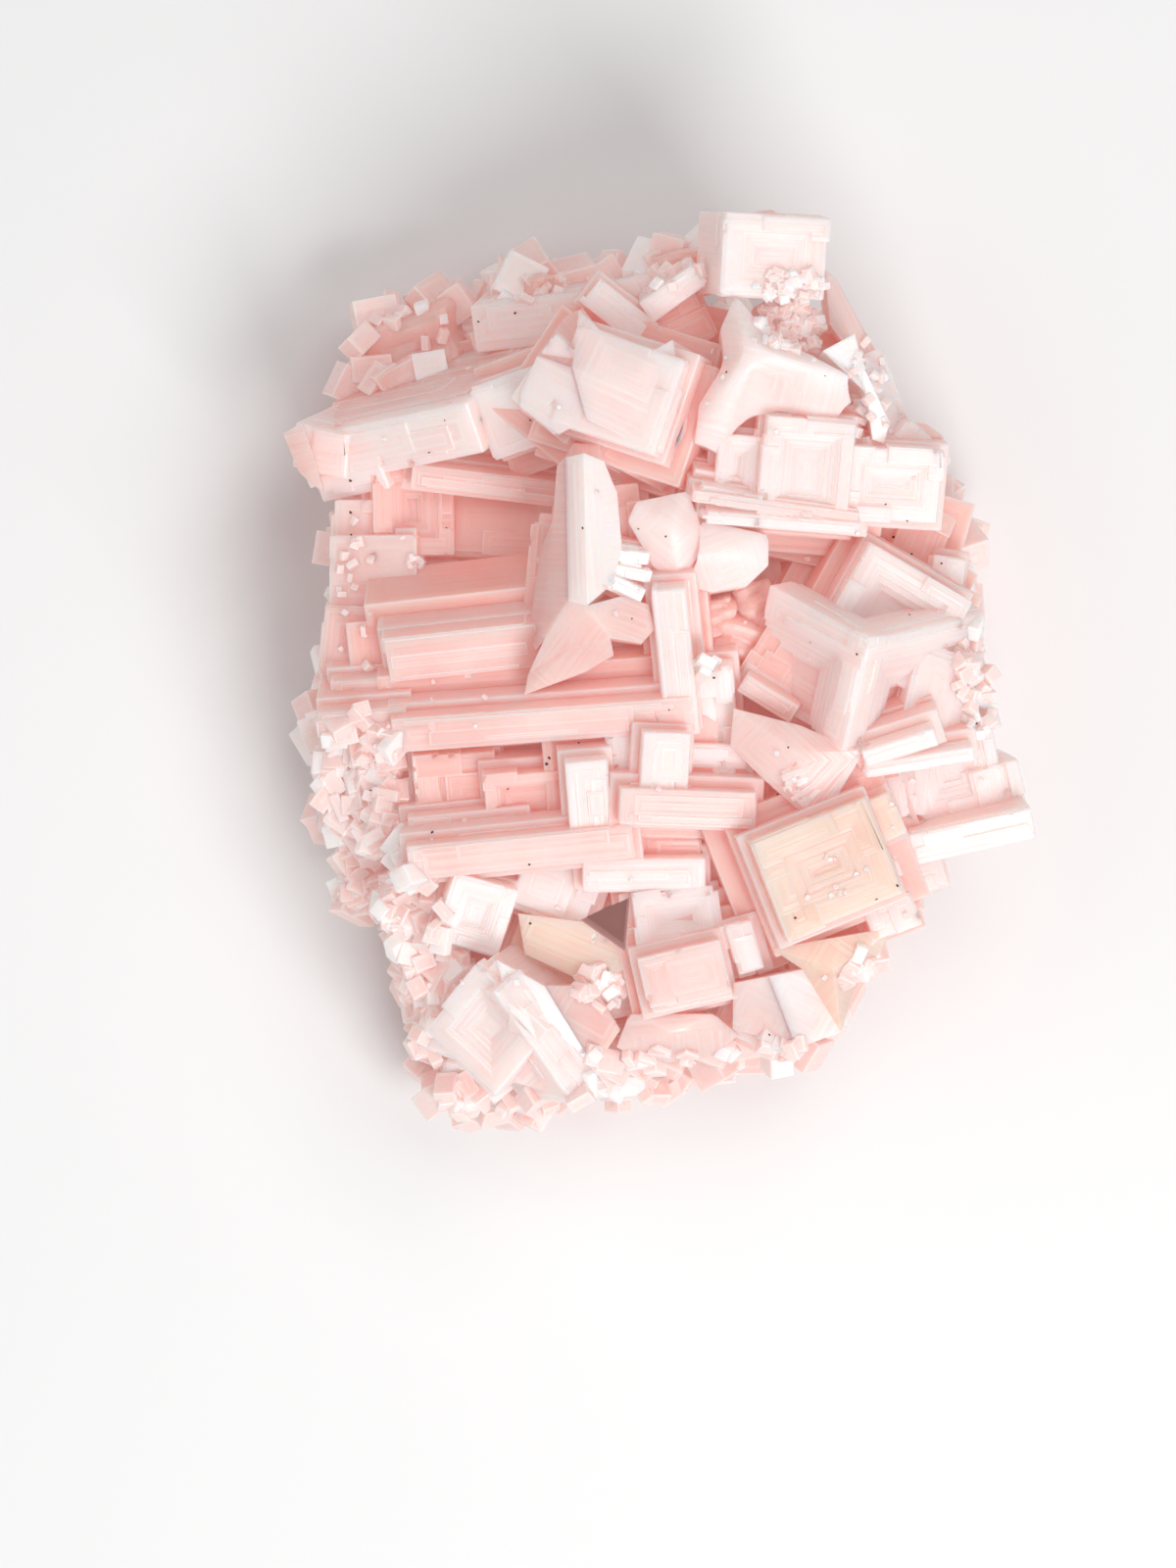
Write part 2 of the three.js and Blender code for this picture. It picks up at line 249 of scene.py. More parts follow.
LEFT_FRAMES = (
    # The stack of long bars on the left, and the square frame whose corner it makes.
    Crystal((-28, 3, 48), (22.5, 7, 18), Lattice(7, -30, -2), Habit.BAR, None, Finish.ROSE),
    Crystal((-16.4, -7.5, 51), (44, 5.4, 16), STACK, Habit.BAR, None, Finish.ROSE),
    Crystal((-42.5, -7.5, 47), (13, 5, 18), STACK, Habit.BAR, None, Finish.ROSE),
    Crystal((-40, -2.8, 43), (15, 5, 18), STACK, Habit.BAR, None, Finish.ROSE),
    Crystal((3, 1.5, 55), (5, 23, 18), STACK, Habit.BAR),
    Crystal((8.5, -4.7, 49), (6.5, 12, 16), STACK),
    Crystal((-12, -1.5, 44), (26, 6, 12), STACK, Habit.BAR, None, Finish.BLUSH),
    # The second frame, below it.
    Crystal((-19.5, -26, 52), (33, 5.2, 16), Lattice(6, -15, 0), Habit.BAR, None, Finish.ROSE),
    Crystal((-9.6, -18.5, 53), (6.2, 12, 16), STEPS, Habit.BAR),
    Crystal((-18.5, -18.6, 46.5), (12.5, 8.5, 12), STEPS, Habit.BLOCK, Pit("+z", 1.2, 1, 3), Finish.BLUSH),
    Crystal((-29, -16.5, 43), (12, 10, 12), STEPS, Habit.BLOCK, None, Finish.BLUSH),
    Crystal((-27, -22, 46), (18, 4, 12), Lattice(6, -15, 0), Habit.BAR, None, Finish.ROSE),
    Crystal((-1.5, -29.4, 48), (18, 5, 14), Lattice(1, -14, 2), Habit.BAR),
    Crystal((2, -25, 46), (9, 4.5, 12), Lattice(0, -10, 0), Habit.BAR, None, Finish.BLUSH),
    # The tee-shaped frame in the middle.
    Crystal((1.5, -13.5, 55), (7, 10, 16), TEE, Habit.BAR),
    Crystal((4.8, -19.6, 55), (20, 5.4, 16), TEE, Habit.BAR, None, Finish.ROSE),
    Crystal((9, -12, 49), (9, 3.5, 12), TEE, Habit.BAR),
    Crystal((10.5, -15, 48), (6.5, 3.5, 12), TEE, Habit.BAR),
    Crystal((-4, -13, 50), (5, 9, 12), Lattice(12, 0, 0)),
)

UPPER_RIGHT = (
    # The steps at the pillar's right side, frosted to paint the light that they catch.
    Crystal((-3.6, 16.8, 57.5), (5.6, 1.8, 8), Lattice(-8, -14, 8), Habit.BAR, None, Finish.FROST),
    Crystal((-3.2, 14.3, 57.8), (5.6, 1.8, 8), Lattice(-10, -14, 8), Habit.BAR, None, Finish.FROST),
    Crystal((-4.2, 12, 58.6), (5.5, 2.4, 8), Lattice(-24, -14, 8), Habit.BAR, None, Finish.FROST),
    Crystal((-4.4, 22.5, 52), (5, 10, 16), Lattice(6, -8, 0), Habit.BLOCK, None, Finish.BLUSH),
    Crystal((-16, 12, 47), (6, 20, 16), Lattice(-6, 0, -30), Habit.BLOCK, None, Finish.BLUSH),
    # The pale block beside the slab, and the plates under its edge.
    Crystal((-5.6, 40.6, 60), (16.5, 14.5, 22), Lattice(-18, 4, -15), Habit.BLOCK, Pit("+z", 3, 1.6)),
    Crystal((-14.6, 41.6, 57), (8.5, 11.5, 20), Lattice(-38, -2, -24)),
    Crystal((-2.4, 31, 53), (10.5, 5, 16), Lattice(-27, -10, 4), Habit.BAR, None, Finish.BLUSH),
    Crystal((2.6, 55.4, 50), (9.5, 3.6, 18), Lattice(36, -12, 0), Habit.BAR),
    Crystal((-5, 52.6, 49), (11, 4.6, 18), Lattice(-38, -6, 0), Habit.BAR),
    Crystal((3.6, 51, 46), (9, 7, 18), Lattice(26, 4, 8), Habit.BLOCK, None, Finish.BLUSH),
    Crystal((4.5, 59, 40), (10, 8, 26), Lattice(10, -6, 0), Habit.LUMP, None, Finish.BLUSH),
    Crystal((-3, 56, 38), (9, 6, 20), Lattice(16, -6, 0)),
    # The cube at the top and the blades down its right side.
    Crystal((17.2, 60, 60), (15, 12, 22), Lattice(-2, -6, 9), Habit.BLOCK, Pit("+z", 2.4, 0.7)),
    Crystal((19.8, 51, 54), (11, 8, 18), Lattice(-12, 6, 6), Habit.LUMP, None, Finish.ROSE),
    Crystal((33.5, 40, 46), (6, 14, 18), Lattice(22, 0, 20)),
    # The ledged block under the saddle, and the pair of blocks at its right.
    Crystal((22, 29, 57.5), (13, 15, 22), LEDGE, Habit.BLOCK, Pit("+z", 2, 1.4)),
    Crystal((12, 29.2, 56), (6.6, 10.5, 20), Lattice(-5, -8, 2), Habit.BLOCK, Pit("+z", 1.4, 1.4)),
    Crystal((17.4, 23.9, 57.6), (24.5, 1.8, 18), Lattice(-8, -22, 4), Habit.BAR, None, Finish.ROSE),
    Crystal((18.6, 21.6, 57.2), (22.5, 1.9, 18), Lattice(-4.5, -22, 4), Habit.BAR),
    Crystal((12, 25.4, 57.4), (11, 1.5, 16), Lattice(-12, -22, 4), Habit.BAR),
    Crystal((34.5, 27.3, 54), (14, 10.5, 20), Lattice(-3, -12, 8), Habit.BLOCK, Pit("+z", 2, 1.2)),
    Crystal((37.8, 31, 48), (9, 9, 18), Lattice(-40, -8, 20)),
    Crystal((39.5, 20, 40), (8, 10.5, 20), Lattice(-24, 0, 24), Habit.BLOCK, None, Finish.BLUSH),
    Crystal((43.3, 14.5, 42), (5, 6, 16), Lattice(-8, 0, 10)),
)

RIGHT = (
    # The bright splinters: tiny frosted crystals that paint glints of light.
    Crystal((7.6, 1.8, 57.5), (2.6, 1.6, 3), Lattice(-28, 10, 10), Habit.BLOCK, None, Finish.FROST),
    Crystal((-8, -38.4, 45.5), (1.2, 1, 3), Lattice(20, 0, 10), Habit.BLOCK, None, Finish.FROST),

    # The rounded lumps in the hollow between the frames and the star, in blush that paints the hollow's
    # shade.
    Crystal((8.5, 8, 48), (8, 6, 14), Lattice(12, -10, 0), Habit.LUMP, None, Finish.BLUSH),
    Crystal((14, 4, 47), (13, 7, 14), Lattice(-18, -14, 0), Habit.LUMP, None, Finish.BLUSH),
    Crystal((15, 10.5, 46), (7, 7, 12), Lattice(20, 0, 0), Habit.LUMP, None, Finish.BLUSH),
    # The star: the big hopper corner, the framed cube above it and the plates round it.
    Crystal((30.5, 4.6, 64), (20, 18, 26), STAR, Habit.STAR, Pit("+x+y+z", 4.4, 4, 6)),
    Crystal((34.9, 8, 51), (17, 16, 24), Lattice(-29, -3, 12), Habit.BLOCK, Pit("+z", 2.4, 3, 4)),
    Crystal((21.5, -1, 47.5), (17, 13, 16), Lattice(-33, -16, -12), Habit.BAR, None, Finish.BLUSH),
    Crystal((16.5, -3.6, 49.5), (9, 3, 16), Lattice(-33, -16, -12), Habit.BAR, None, Finish.ROSE),
    *(
        Crystal(
            (
                29.5 - 5.5 * math.cos(math.radians(angle)),
                -11 - 5.5 * math.sin(math.radians(angle)),
                55 - 0.3 * i,
            ),
            (12.5, 1.7, 10),
            Lattice(angle, -8, 4),
            Habit.BAR,
            None,
            Finish.MILKY if i % 2 else Finish.ROSE,
        )
        for i, angle in enumerate(range(20, 62, 8))
    ),
    Crystal((42, -3, 50), (10, 13, 22), Lattice(-14, 0, 18)),
    Crystal((47.5, -2, 42), (5, 13, 20), Lattice(16, 0, 20), Habit.BAR),
    # The bars at the lower right, and the long one that sticks out past them.
    Crystal((35.4, -10.9, 57), (11, 2.8, 14), Lattice(19, -22, 4), Habit.BAR),
    Crystal((38.4, -12.9, 54), (16, 2.2, 14), Lattice(10, -22, 4), Habit.BAR),
    Crystal((44.5, -14.2, 45), (13, 12, 24), Lattice(14, -10, 14), Habit.BLOCK, Pit("+z", 2, 1.6)),
    Crystal((51, -18.8, 43), (7.5, 11.5, 18), Lattice(16, -8, 12), Habit.BLOCK),
    Crystal((46.2, -23.8, 48), (19, 4.8, 20), Lattice(13, -16, 6), Habit.BAR),
    Crystal((34.6, -17, 47), (4.2, 8, 14), Lattice(10, 0, 0), Habit.BAR),
    Crystal((38, -17, 46), (4.2, 7, 12), Lattice(-6, 0, 0), Habit.BAR),
    # The big pale cube, tilted, and its neighbours.
    Crystal((24.8, -28.2, 58), (18, 15, 26), PALE, Habit.BLOCK, Pit("+z", 3.4, 1.6), Finish.HONEY),
    Crystal((33.2, -21, 54), (4.6, 6.6, 20), Lattice(24, -4, 5), Habit.BLOCK, None, Finish.HONEY),
    Crystal((33.5, -33, 50), (7, 10, 20), PALE),
    Crystal((38, -29, 42), (8.5, 6, 18), Lattice(16, 0, 8)),
)

LOWER = (
    # The plates at the bottom middle, beside the gap.
    Crystal((4.6, -44.2, 53), (12, 8.4, 20), Lattice(13, -4, 2), Habit.BLOCK, None, Finish.ROSE),
    Crystal((3.2, -35.8, 48), (12, 8.6, 20), Lattice(8, 6, 2), Habit.BLOCK, Pit("+z", 1.6, 1.4)),
    Crystal((13.2, -39.8, 51), (3.8, 7.4, 16), Lattice(16, -4, 4)),
    Crystal((12, -31, 42), (8, 14, 18), Lattice(12, 0, 6), Habit.BLOCK, None, Finish.BLUSH),
    # The wedge at the bottom left with its bright bevelled bar.
    Crystal((-15.6, -52.8, 52), (21, 5.5, 22), Lattice(-53, 0, 22), Habit.BAR),
    Crystal((-24.5, -52, 50), (14, 14, 24), Lattice(-44, -14, -24), Habit.BLOCK, Pit("+z", 2.4, 1.2)),
    Crystal((-26, -35.2, 47), (10, 10.5, 18), Lattice(-16, -14, 10), Habit.BLOCK, Pit("+z", 1.8, 1.2)),
    Crystal((-14.5, -32.3, 43), (11, 8, 16), Lattice(-20, -4, 0)),
    Crystal((-12, -41, 40), (18, 8, 20), Lattice(-22, 4, 8), Habit.BAR, None, Finish.HONEY),
    Crystal((-7.2, -46, 45), (4.6, 4.2, 14), Lattice(-10, -6, 0)),
    Crystal((-9, -49, 42), (14, 5, 18), Lattice(14, -18, 0), Habit.BAR),
    # The foot of the cluster.
    Crystal((0, -53, 34), (24, 9, 26), Lattice(6, -8, 0), Habit.BAR, None, Finish.BLUSH),
    Crystal((8, -51, 38), (9, 9, 24), Lattice(-20, 0, 10)),
    Crystal((-3.4, -61, 20), (12, 6.5, 20), Lattice(8, -4, 0), Habit.LUMP),
    Crystal((-26.6, -61, 28), (13, 10, 28), Lattice(-8, -4, 0), Habit.LUMP),
    Crystal((-16.5, -60, 26), (11, 7, 24), Lattice(25, 0, 0), Habit.LUMP),
    Crystal((14.8, -48, 42), (9, 12, 26), Lattice(-25, 0, -14), Habit.BAR),
    Crystal((19.6, -49.3, 44), (4, 11, 24), Lattice(-25, 0, 18), Habit.BAR),
    Crystal((25.6, -46, 38), (8, 12, 28), Lattice(-12, 0, 18)),
    Crystal((26, -41.5, 43), (11.5, 7, 20), Lattice(10, -6, 0), Habit.BLOCK, None, Finish.HONEY),
    # The rough left edge, where small crystals crowd together.
    Crystal((-45, -16, 35), (9, 12, 24), Lattice(8, 0, -14)),
    Crystal((-43.5, -28, 30), (9, 12, 26), Lattice(-8, 0, -12), Habit.LUMP),
    Crystal((-48.6, -17, 24), (5, 12, 22), Lattice(4, 0, -20)),
    Crystal((-50, -8, 30), (5.5, 5, 14), Lattice(20, 0, -10)),
    Crystal((-38.5, -20, 40), (7, 8, 16), Lattice(12, 0, 0)),
    Crystal((-35.5, -33.8, 42), (7, 8, 16), Lattice(-30, 0, -8)),
    Crystal((-31.5, -43.5, 42), (9, 9, 20), Lattice(6, -6, 0)),
    Crystal((-35.5, -45, 30), (6, 13, 24), Lattice(10, 0, -14)),
    Crystal((-31, -52, 34), (6, 8, 20), Lattice(-18, 0, -6)),
)


SHARDS = (
    # The pillar: its ridge, the faces on both sides of it, and the faces that spread from its foot. Its
    # frosted right face paints the light that it catches, and its rose faces paint half shade.
    Shard(((-13, 31, 60), (-10.3, 31.5, 62), (-9.8, 9.6, 63.5), (-12.6, 10.3, 62)), 92),
    Shard(
        (
            (-10.3, 31.5, 62), (-7.4, 30.5, 59.5), (-5.5, 26, 57.5),
            (-4.8, 18, 58), (-6, 13, 60), (-9.8, 9.6, 63.5),
        ),
        95,
        Finish.FROST,
    ),
    Shard(
        ((-13, 31, 60), (-11.8, 33.3, 56), (-8.2, 33.2, 56), (-7.4, 30.5, 59.5), (-10.3, 31.5, 62)),
        0,
        Finish.ROSE,
    ),
    Shard(
        (
            (-12.6, 10.3, 62), (-9.8, 9.6, 63.5), (-6.5, 5, 60.5), (-6, 2.7, 58),
            (-10, 0.3, 56), (-19, -3, 51), (-18.4, 0, 52), (-16, 5, 57),
        ),
        52,
        Finish.ROSE,
    ),
    Shard(
        ((-9.8, 9.6, 63.5), (-5, 11, 60), (-1, 10, 57), (0, 6.5, 56), (-2, 4.3, 56.5), (-6.5, 5, 60.5)),
        -20,
        Finish.ROSE,
    ),
    Shard(
        (
            (-13, 31, 60), (-12.6, 10.3, 62), (-16, 5, 57), (-17.4, 3.5, 50),
            (-18.5, 6, 48), (-16.5, 18.5, 50), (-14, 24.5, 54), (-14.2, 30, 57),
        ),
        82,
        Finish.ROSE,
    ),
    # The saddle: three ridges that run down from one peak, with smooth hollows between them.
    Shard(
        (
            (11.2, 55.5, 60.5), (15, 50.8, 59.5), (18, 48.3, 60), (23.3, 45.6, 60.5), (29.4, 42.6, 59.5),
            (29.8, 38.5, 57), (27.5, 35, 54), (20, 37, 55.5), (16.5, 36.6, 56), (12.5, 35.6, 56),
            (8.6, 30, 55), (4.6, 31.8, 56), (5.4, 38, 57), (9.6, 44.5, 58.5), (8.8, 50, 58),
        ),
        75,
        Finish.MILKY,
        (13.8, 46, 66),
        3,
    ),
    # The smooth pair left of centre.
    Shard(
        (
            (-4.6, 22.3, 56), (-3.2, 25.2, 56.5), (4.9, 26.9, 56.5), (6.3, 23.2, 56),
            (8, 19, 56), (3.5, 11.5, 54.5), (-0.5, 15, 55),
        ),
        -40,
        Finish.MILKY,
        (2.4, 20.5, 59.5),
        2,
    ),
    Shard(
        (
            (6, 22.6, 56), (17, 20.4, 55.5), (17, 15.5, 54.5), (13.5, 12.2, 53.5),
            (8, 11.3, 54), (4, 12.2, 54.5), (6, 17, 58),
        ),
        20,
        Finish.MILKY,
        (10.5, 17.4, 58),
        2,
    ),
    # The blades down the right side of the top cube, and the frosted band beside the saddle, which paints
    # the sparkle of light there.
    Shard(
        ((24.8, 59, 50), (26.4, 58, 49), (32.8, 47, 45), (30.5, 44.5, 47), (25.5, 51, 51)),
        118,
        Finish.ROSE,
    ),
    Shard(
        (
            (24, 46.3, 60.5), (28.8, 49, 58), (30, 44.5, 57.5), (32, 40.5, 56), (34, 36.5, 54),
            (33.3, 33.5, 53), (31.5, 34, 54), (31, 38, 56), (29.8, 42, 58.5),
        ),
        115,
        Finish.FROST,
    ),
    Shard(
        (
            (30.5, 46.5, 50), (34, 44.5, 46), (35, 40, 46), (37, 36.5, 46), (43.3, 32.3, 42),
            (41.5, 28, 44), (40, 25.2, 44), (35, 24, 50), (33, 33, 52),
        ),
        -20,
        Finish.MILKY,
    ),
    # The broad plate below the star.
    Shard(
        (
            (11.5, -5, 52), (21, -7.5, 55), (29.5, -11.2, 56),
            (21.6, -20.4, 53), (16, -15.5, 53.5), (11, -10.5, 51),
        ),
        -43,
        Finish.ROSE,
        (20.5, -11.5, 56.4),
    ),
    # The pale block beside the slab: its broad face and the broken edges round it.
    Shard(
        (
            (-11, 52.5, 57), (-8, 49.5, 59), (-3, 47.5, 60.2), (0, 46.5, 60.8), (2.5, 48, 60), (3.8, 40, 61),
            (1, 31.5, 61), (-5, 34, 61.5), (-10, 36.5, 61), (-12, 44, 60.5),
        ),
        -25,
        Finish.MILKY,
        (-5, 40.5, 63.2),
    ),
    Shard(
        (
            (-19.5, 40.5, 56), (-19.5, 38.5, 56), (-14, 34.5, 58),
            (-10, 36.5, 60), (-12, 44, 60), (-17, 46, 57),
        ),
        -30,
    ),
    Shard(((-17, 46, 57), (-12, 44, 60), (-8, 49.5, 58), (-10.5, 53, 54), (-13, 52, 53)), -52, Finish.ROSE),
    Shard(
        ((0, 46.5, 60), (2.5, 48, 58), (5.5, 46.5, 56), (4.5, 35, 56), (3, 32.5, 57), (3.3, 38, 60)),
        84,
        Finish.ROSE,
    ),
    # The slab's broken tip, and the bump on the top cube.
    Shard(
        ((-55, 36, 35), (-52, 37.4, 39), (-50, 31.5, 38.5), (-49, 27.3, 36), (-52.8, 30.5, 33)),
        9,
        Finish.ROSE,
    ),
    Shard(
        ((12.8, 65.4, 56), (14.5, 67, 55), (17, 67.4, 54), (19.4, 65.6, 56), (17, 64, 58)),
        0,
        Finish.ROSE,
        None,
        1,
    ),
    # The wedge at the bottom left: its wide pale face and the bevel beside it, frosted to paint the light
    # that the bevel catches.
    Shard(
        (
            (-23, -41.5, 53), (-31.5, -51, 47), (-28.5, -58, 43),
            (-14, -61.5, 44), (-11.5, -59.5, 50), (-21, -49, 55),
        ),
        -46,
    ),
    Shard(
        ((-23, -41.5, 53), (-21, -49, 55), (-11.5, -59.5, 50), (-8.7, -57.5, 49), (-16, -45.3, 54)),
        -53,
        Finish.FROST,
    ),
    Shard(((-16, -45.3, 53), (-8.7, -57.5, 49), (-5, -52, 46), (-9, -45.5, 48)), -30, Finish.ROSE),
    # The thin orange sheet beside the gap.
    Shard(
        ((-20, -35, 45), (-9.8, -36.3, 46), (-2.2, -42, 46.5), (-9, -45.5, 46), (-19, -41, 44)),
        -22,
        Finish.HONEY,
    ),
    # The broken faces along the foot and up the lower right.
    Shard(
        ((-4, -49.5, 47), (9, -49.5, 47), (13, -53, 42), (9, -56.5, 37), (0, -58, 35), (-6, -55, 41)),
        8,
        Finish.ROSE,
        (3, -52.5, 48),
        1,
    ),
    Shard(
        ((11.5, -45, 51), (16.5, -44, 52), (20.8, -54.8, 45), (17, -53.5, 43), (11.5, -52, 45)),
        65,
        Finish.ROSE,
    ),
    Shard(((16.5, -44, 52), (21.5, -43, 51), (27.5, -52.5, 43), (20.8, -54.8, 45)), 62),
    Shard(
        (
            (17, -40, 51), (27, -38.2, 52), (34.5, -37, 49), (33.5, -39.8, 47),
            (29.5, -46, 44), (27.5, -52.5, 43), (21.5, -43, 51),
        ),
        58,
        Finish.HONEY,
        (26, -43, 52.5),
    ),
)


def deselect_all() -> None:
    """Leaves nothing selected, so that the next operator acts on its own piece only."""
    if bpy.context.mode != "OBJECT":
        bpy.ops.object.mode_set(mode="OBJECT")
    bpy.ops.object.select_all(action="DESELECT")


def make_active(piece: bpy.types.Object) -> None:
    """Selects one piece alone and makes it the active one.

    Args:
        piece: The piece that the next operator acts on.
    """
    deselect_all()
    piece.select_set(True)
    bpy.context.view_layer.objects.active = piece


class Stock:
    """The few shapes that every crystal is cut from, each two units across, modelled once and copied."""

    BEVEL = 0.1
    CHIPPED_WEAR = 0.8
    BITES = ((1, 1, 0.3), (1, 0.25, 1), (0.3, 1, 1))
    BITE_DEPTH = 0.35
    LUMPS = 3
    LUMP_SEED = 100
    LUMP_CUTS = 7
    LUMP_ROUNDS = 4
    LUMP_WAVES = 2.3
    LUMP_SWELL = 0.055

    def __init__(self) -> None:
        """Models the stock shapes."""
        self.bar = self._cube("stock_bar")
        self.chipped = [self._chipped(i, Vector(bite)) for i, bite in enumerate(self.BITES)]
        self.block = self._block()
        self.lumps = [self._lump(i) for i in range(self.LUMPS)]

    def take(self, name: str) -> bpy.types.Mesh:
        """Takes the active object's mesh into stock and removes the object.

        Args:
            name: The mesh's name.

        Returns:
            The mesh, without any UV map.
        """
        bpy.ops.object.mode_set(mode="OBJECT")
        piece = bpy.context.object
        mesh = piece.data
        mesh.name = name
        while mesh.uv_layers:
            mesh.uv_layers.remove(mesh.uv_layers[0])
        bpy.data.objects.remove(piece)
        return mesh

    def _start(self) -> None:
        """Adds a cube two units across and opens it for editing."""
        deselect_all()
        bpy.ops.mesh.primitive_cube_add(size=2)
        bpy.ops.object.mode_set(mode="EDIT")
        bpy.ops.mesh.select_all(action="SELECT")

    def _block(self) -> bpy.types.Mesh:
        """Returns a sharp cube, for cutting pits and for the core."""
        self._start()
        return self.take("stock_block")

    def _cube(self, name: str) -> bpy.types.Mesh:
        """Returns a cube with its edges worn.

        Args:
            name: The mesh's name.
        """
        self._start()
        bpy.ops.mesh.bevel(offset=self.BEVEL, segments=1, affect="EDGES")
        return self.take(name)

    def _chipped(self, index: int, bite: Vector) -> bpy.types.Mesh:
        """Returns a cube with worn edges and one corner broken off.

        Args:
            index: Which chipped bar this is.
            bite: The direction that the corner is broken from.
        """
        self._start()
        bpy.ops.mesh.bisect(
            plane_co=Vector((1, 1, 1)) - bite.normalized() * self.BITE_DEPTH,
            plane_no=bite.normalized(),
            use_fill=True,
            clear_outer=True,
        )
        bpy.ops.mesh.select_all(action="SELECT")
        bpy.ops.mesh.bevel(offset=self.BEVEL * self.CHIPPED_WEAR, segments=1, affect="EDGES")
        return self.take(f"stock_chipped_{index}")

    def _lump(self, index: int) -> bpy.types.Mesh:
        """Returns a cube that water has eaten into a rounded mass.

        Args:
            index: Which lump this is.
        """
        self._start()
        bpy.ops.mesh.subdivide(number_cuts=self.LUMP_CUTS)
        bpy.ops.mesh.vertices_smooth(factor=0.5, repeat=self.LUMP_ROUNDS)
        bpy.ops.object.mode_set(mode="OBJECT")
        mesh = bpy.context.object.data
        draws = random.Random(self.LUMP_SEED + index)
        phase = Vector((draws.uniform(0, 9), draws.uniform(0, 9), draws.uniform(0, 9)))
        for vertex in mesh.vertices:
            here = vertex.co * self.LUMP_WAVES + phase
            swell = math.sin(here.x * 2 + math.sin(here.y * 3)) + math.sin(here.y * 2.6 + here.z * 1.7)
            vertex.co *= 1 + self.LUMP_SWELL * swell
        largest = max(max(abs(c) for c in vertex.co) for vertex in mesh.vertices)
        mesh.transform(Matrix.Scale(1 / largest, 4))
        return self.take(f"stock_lump_{index}")


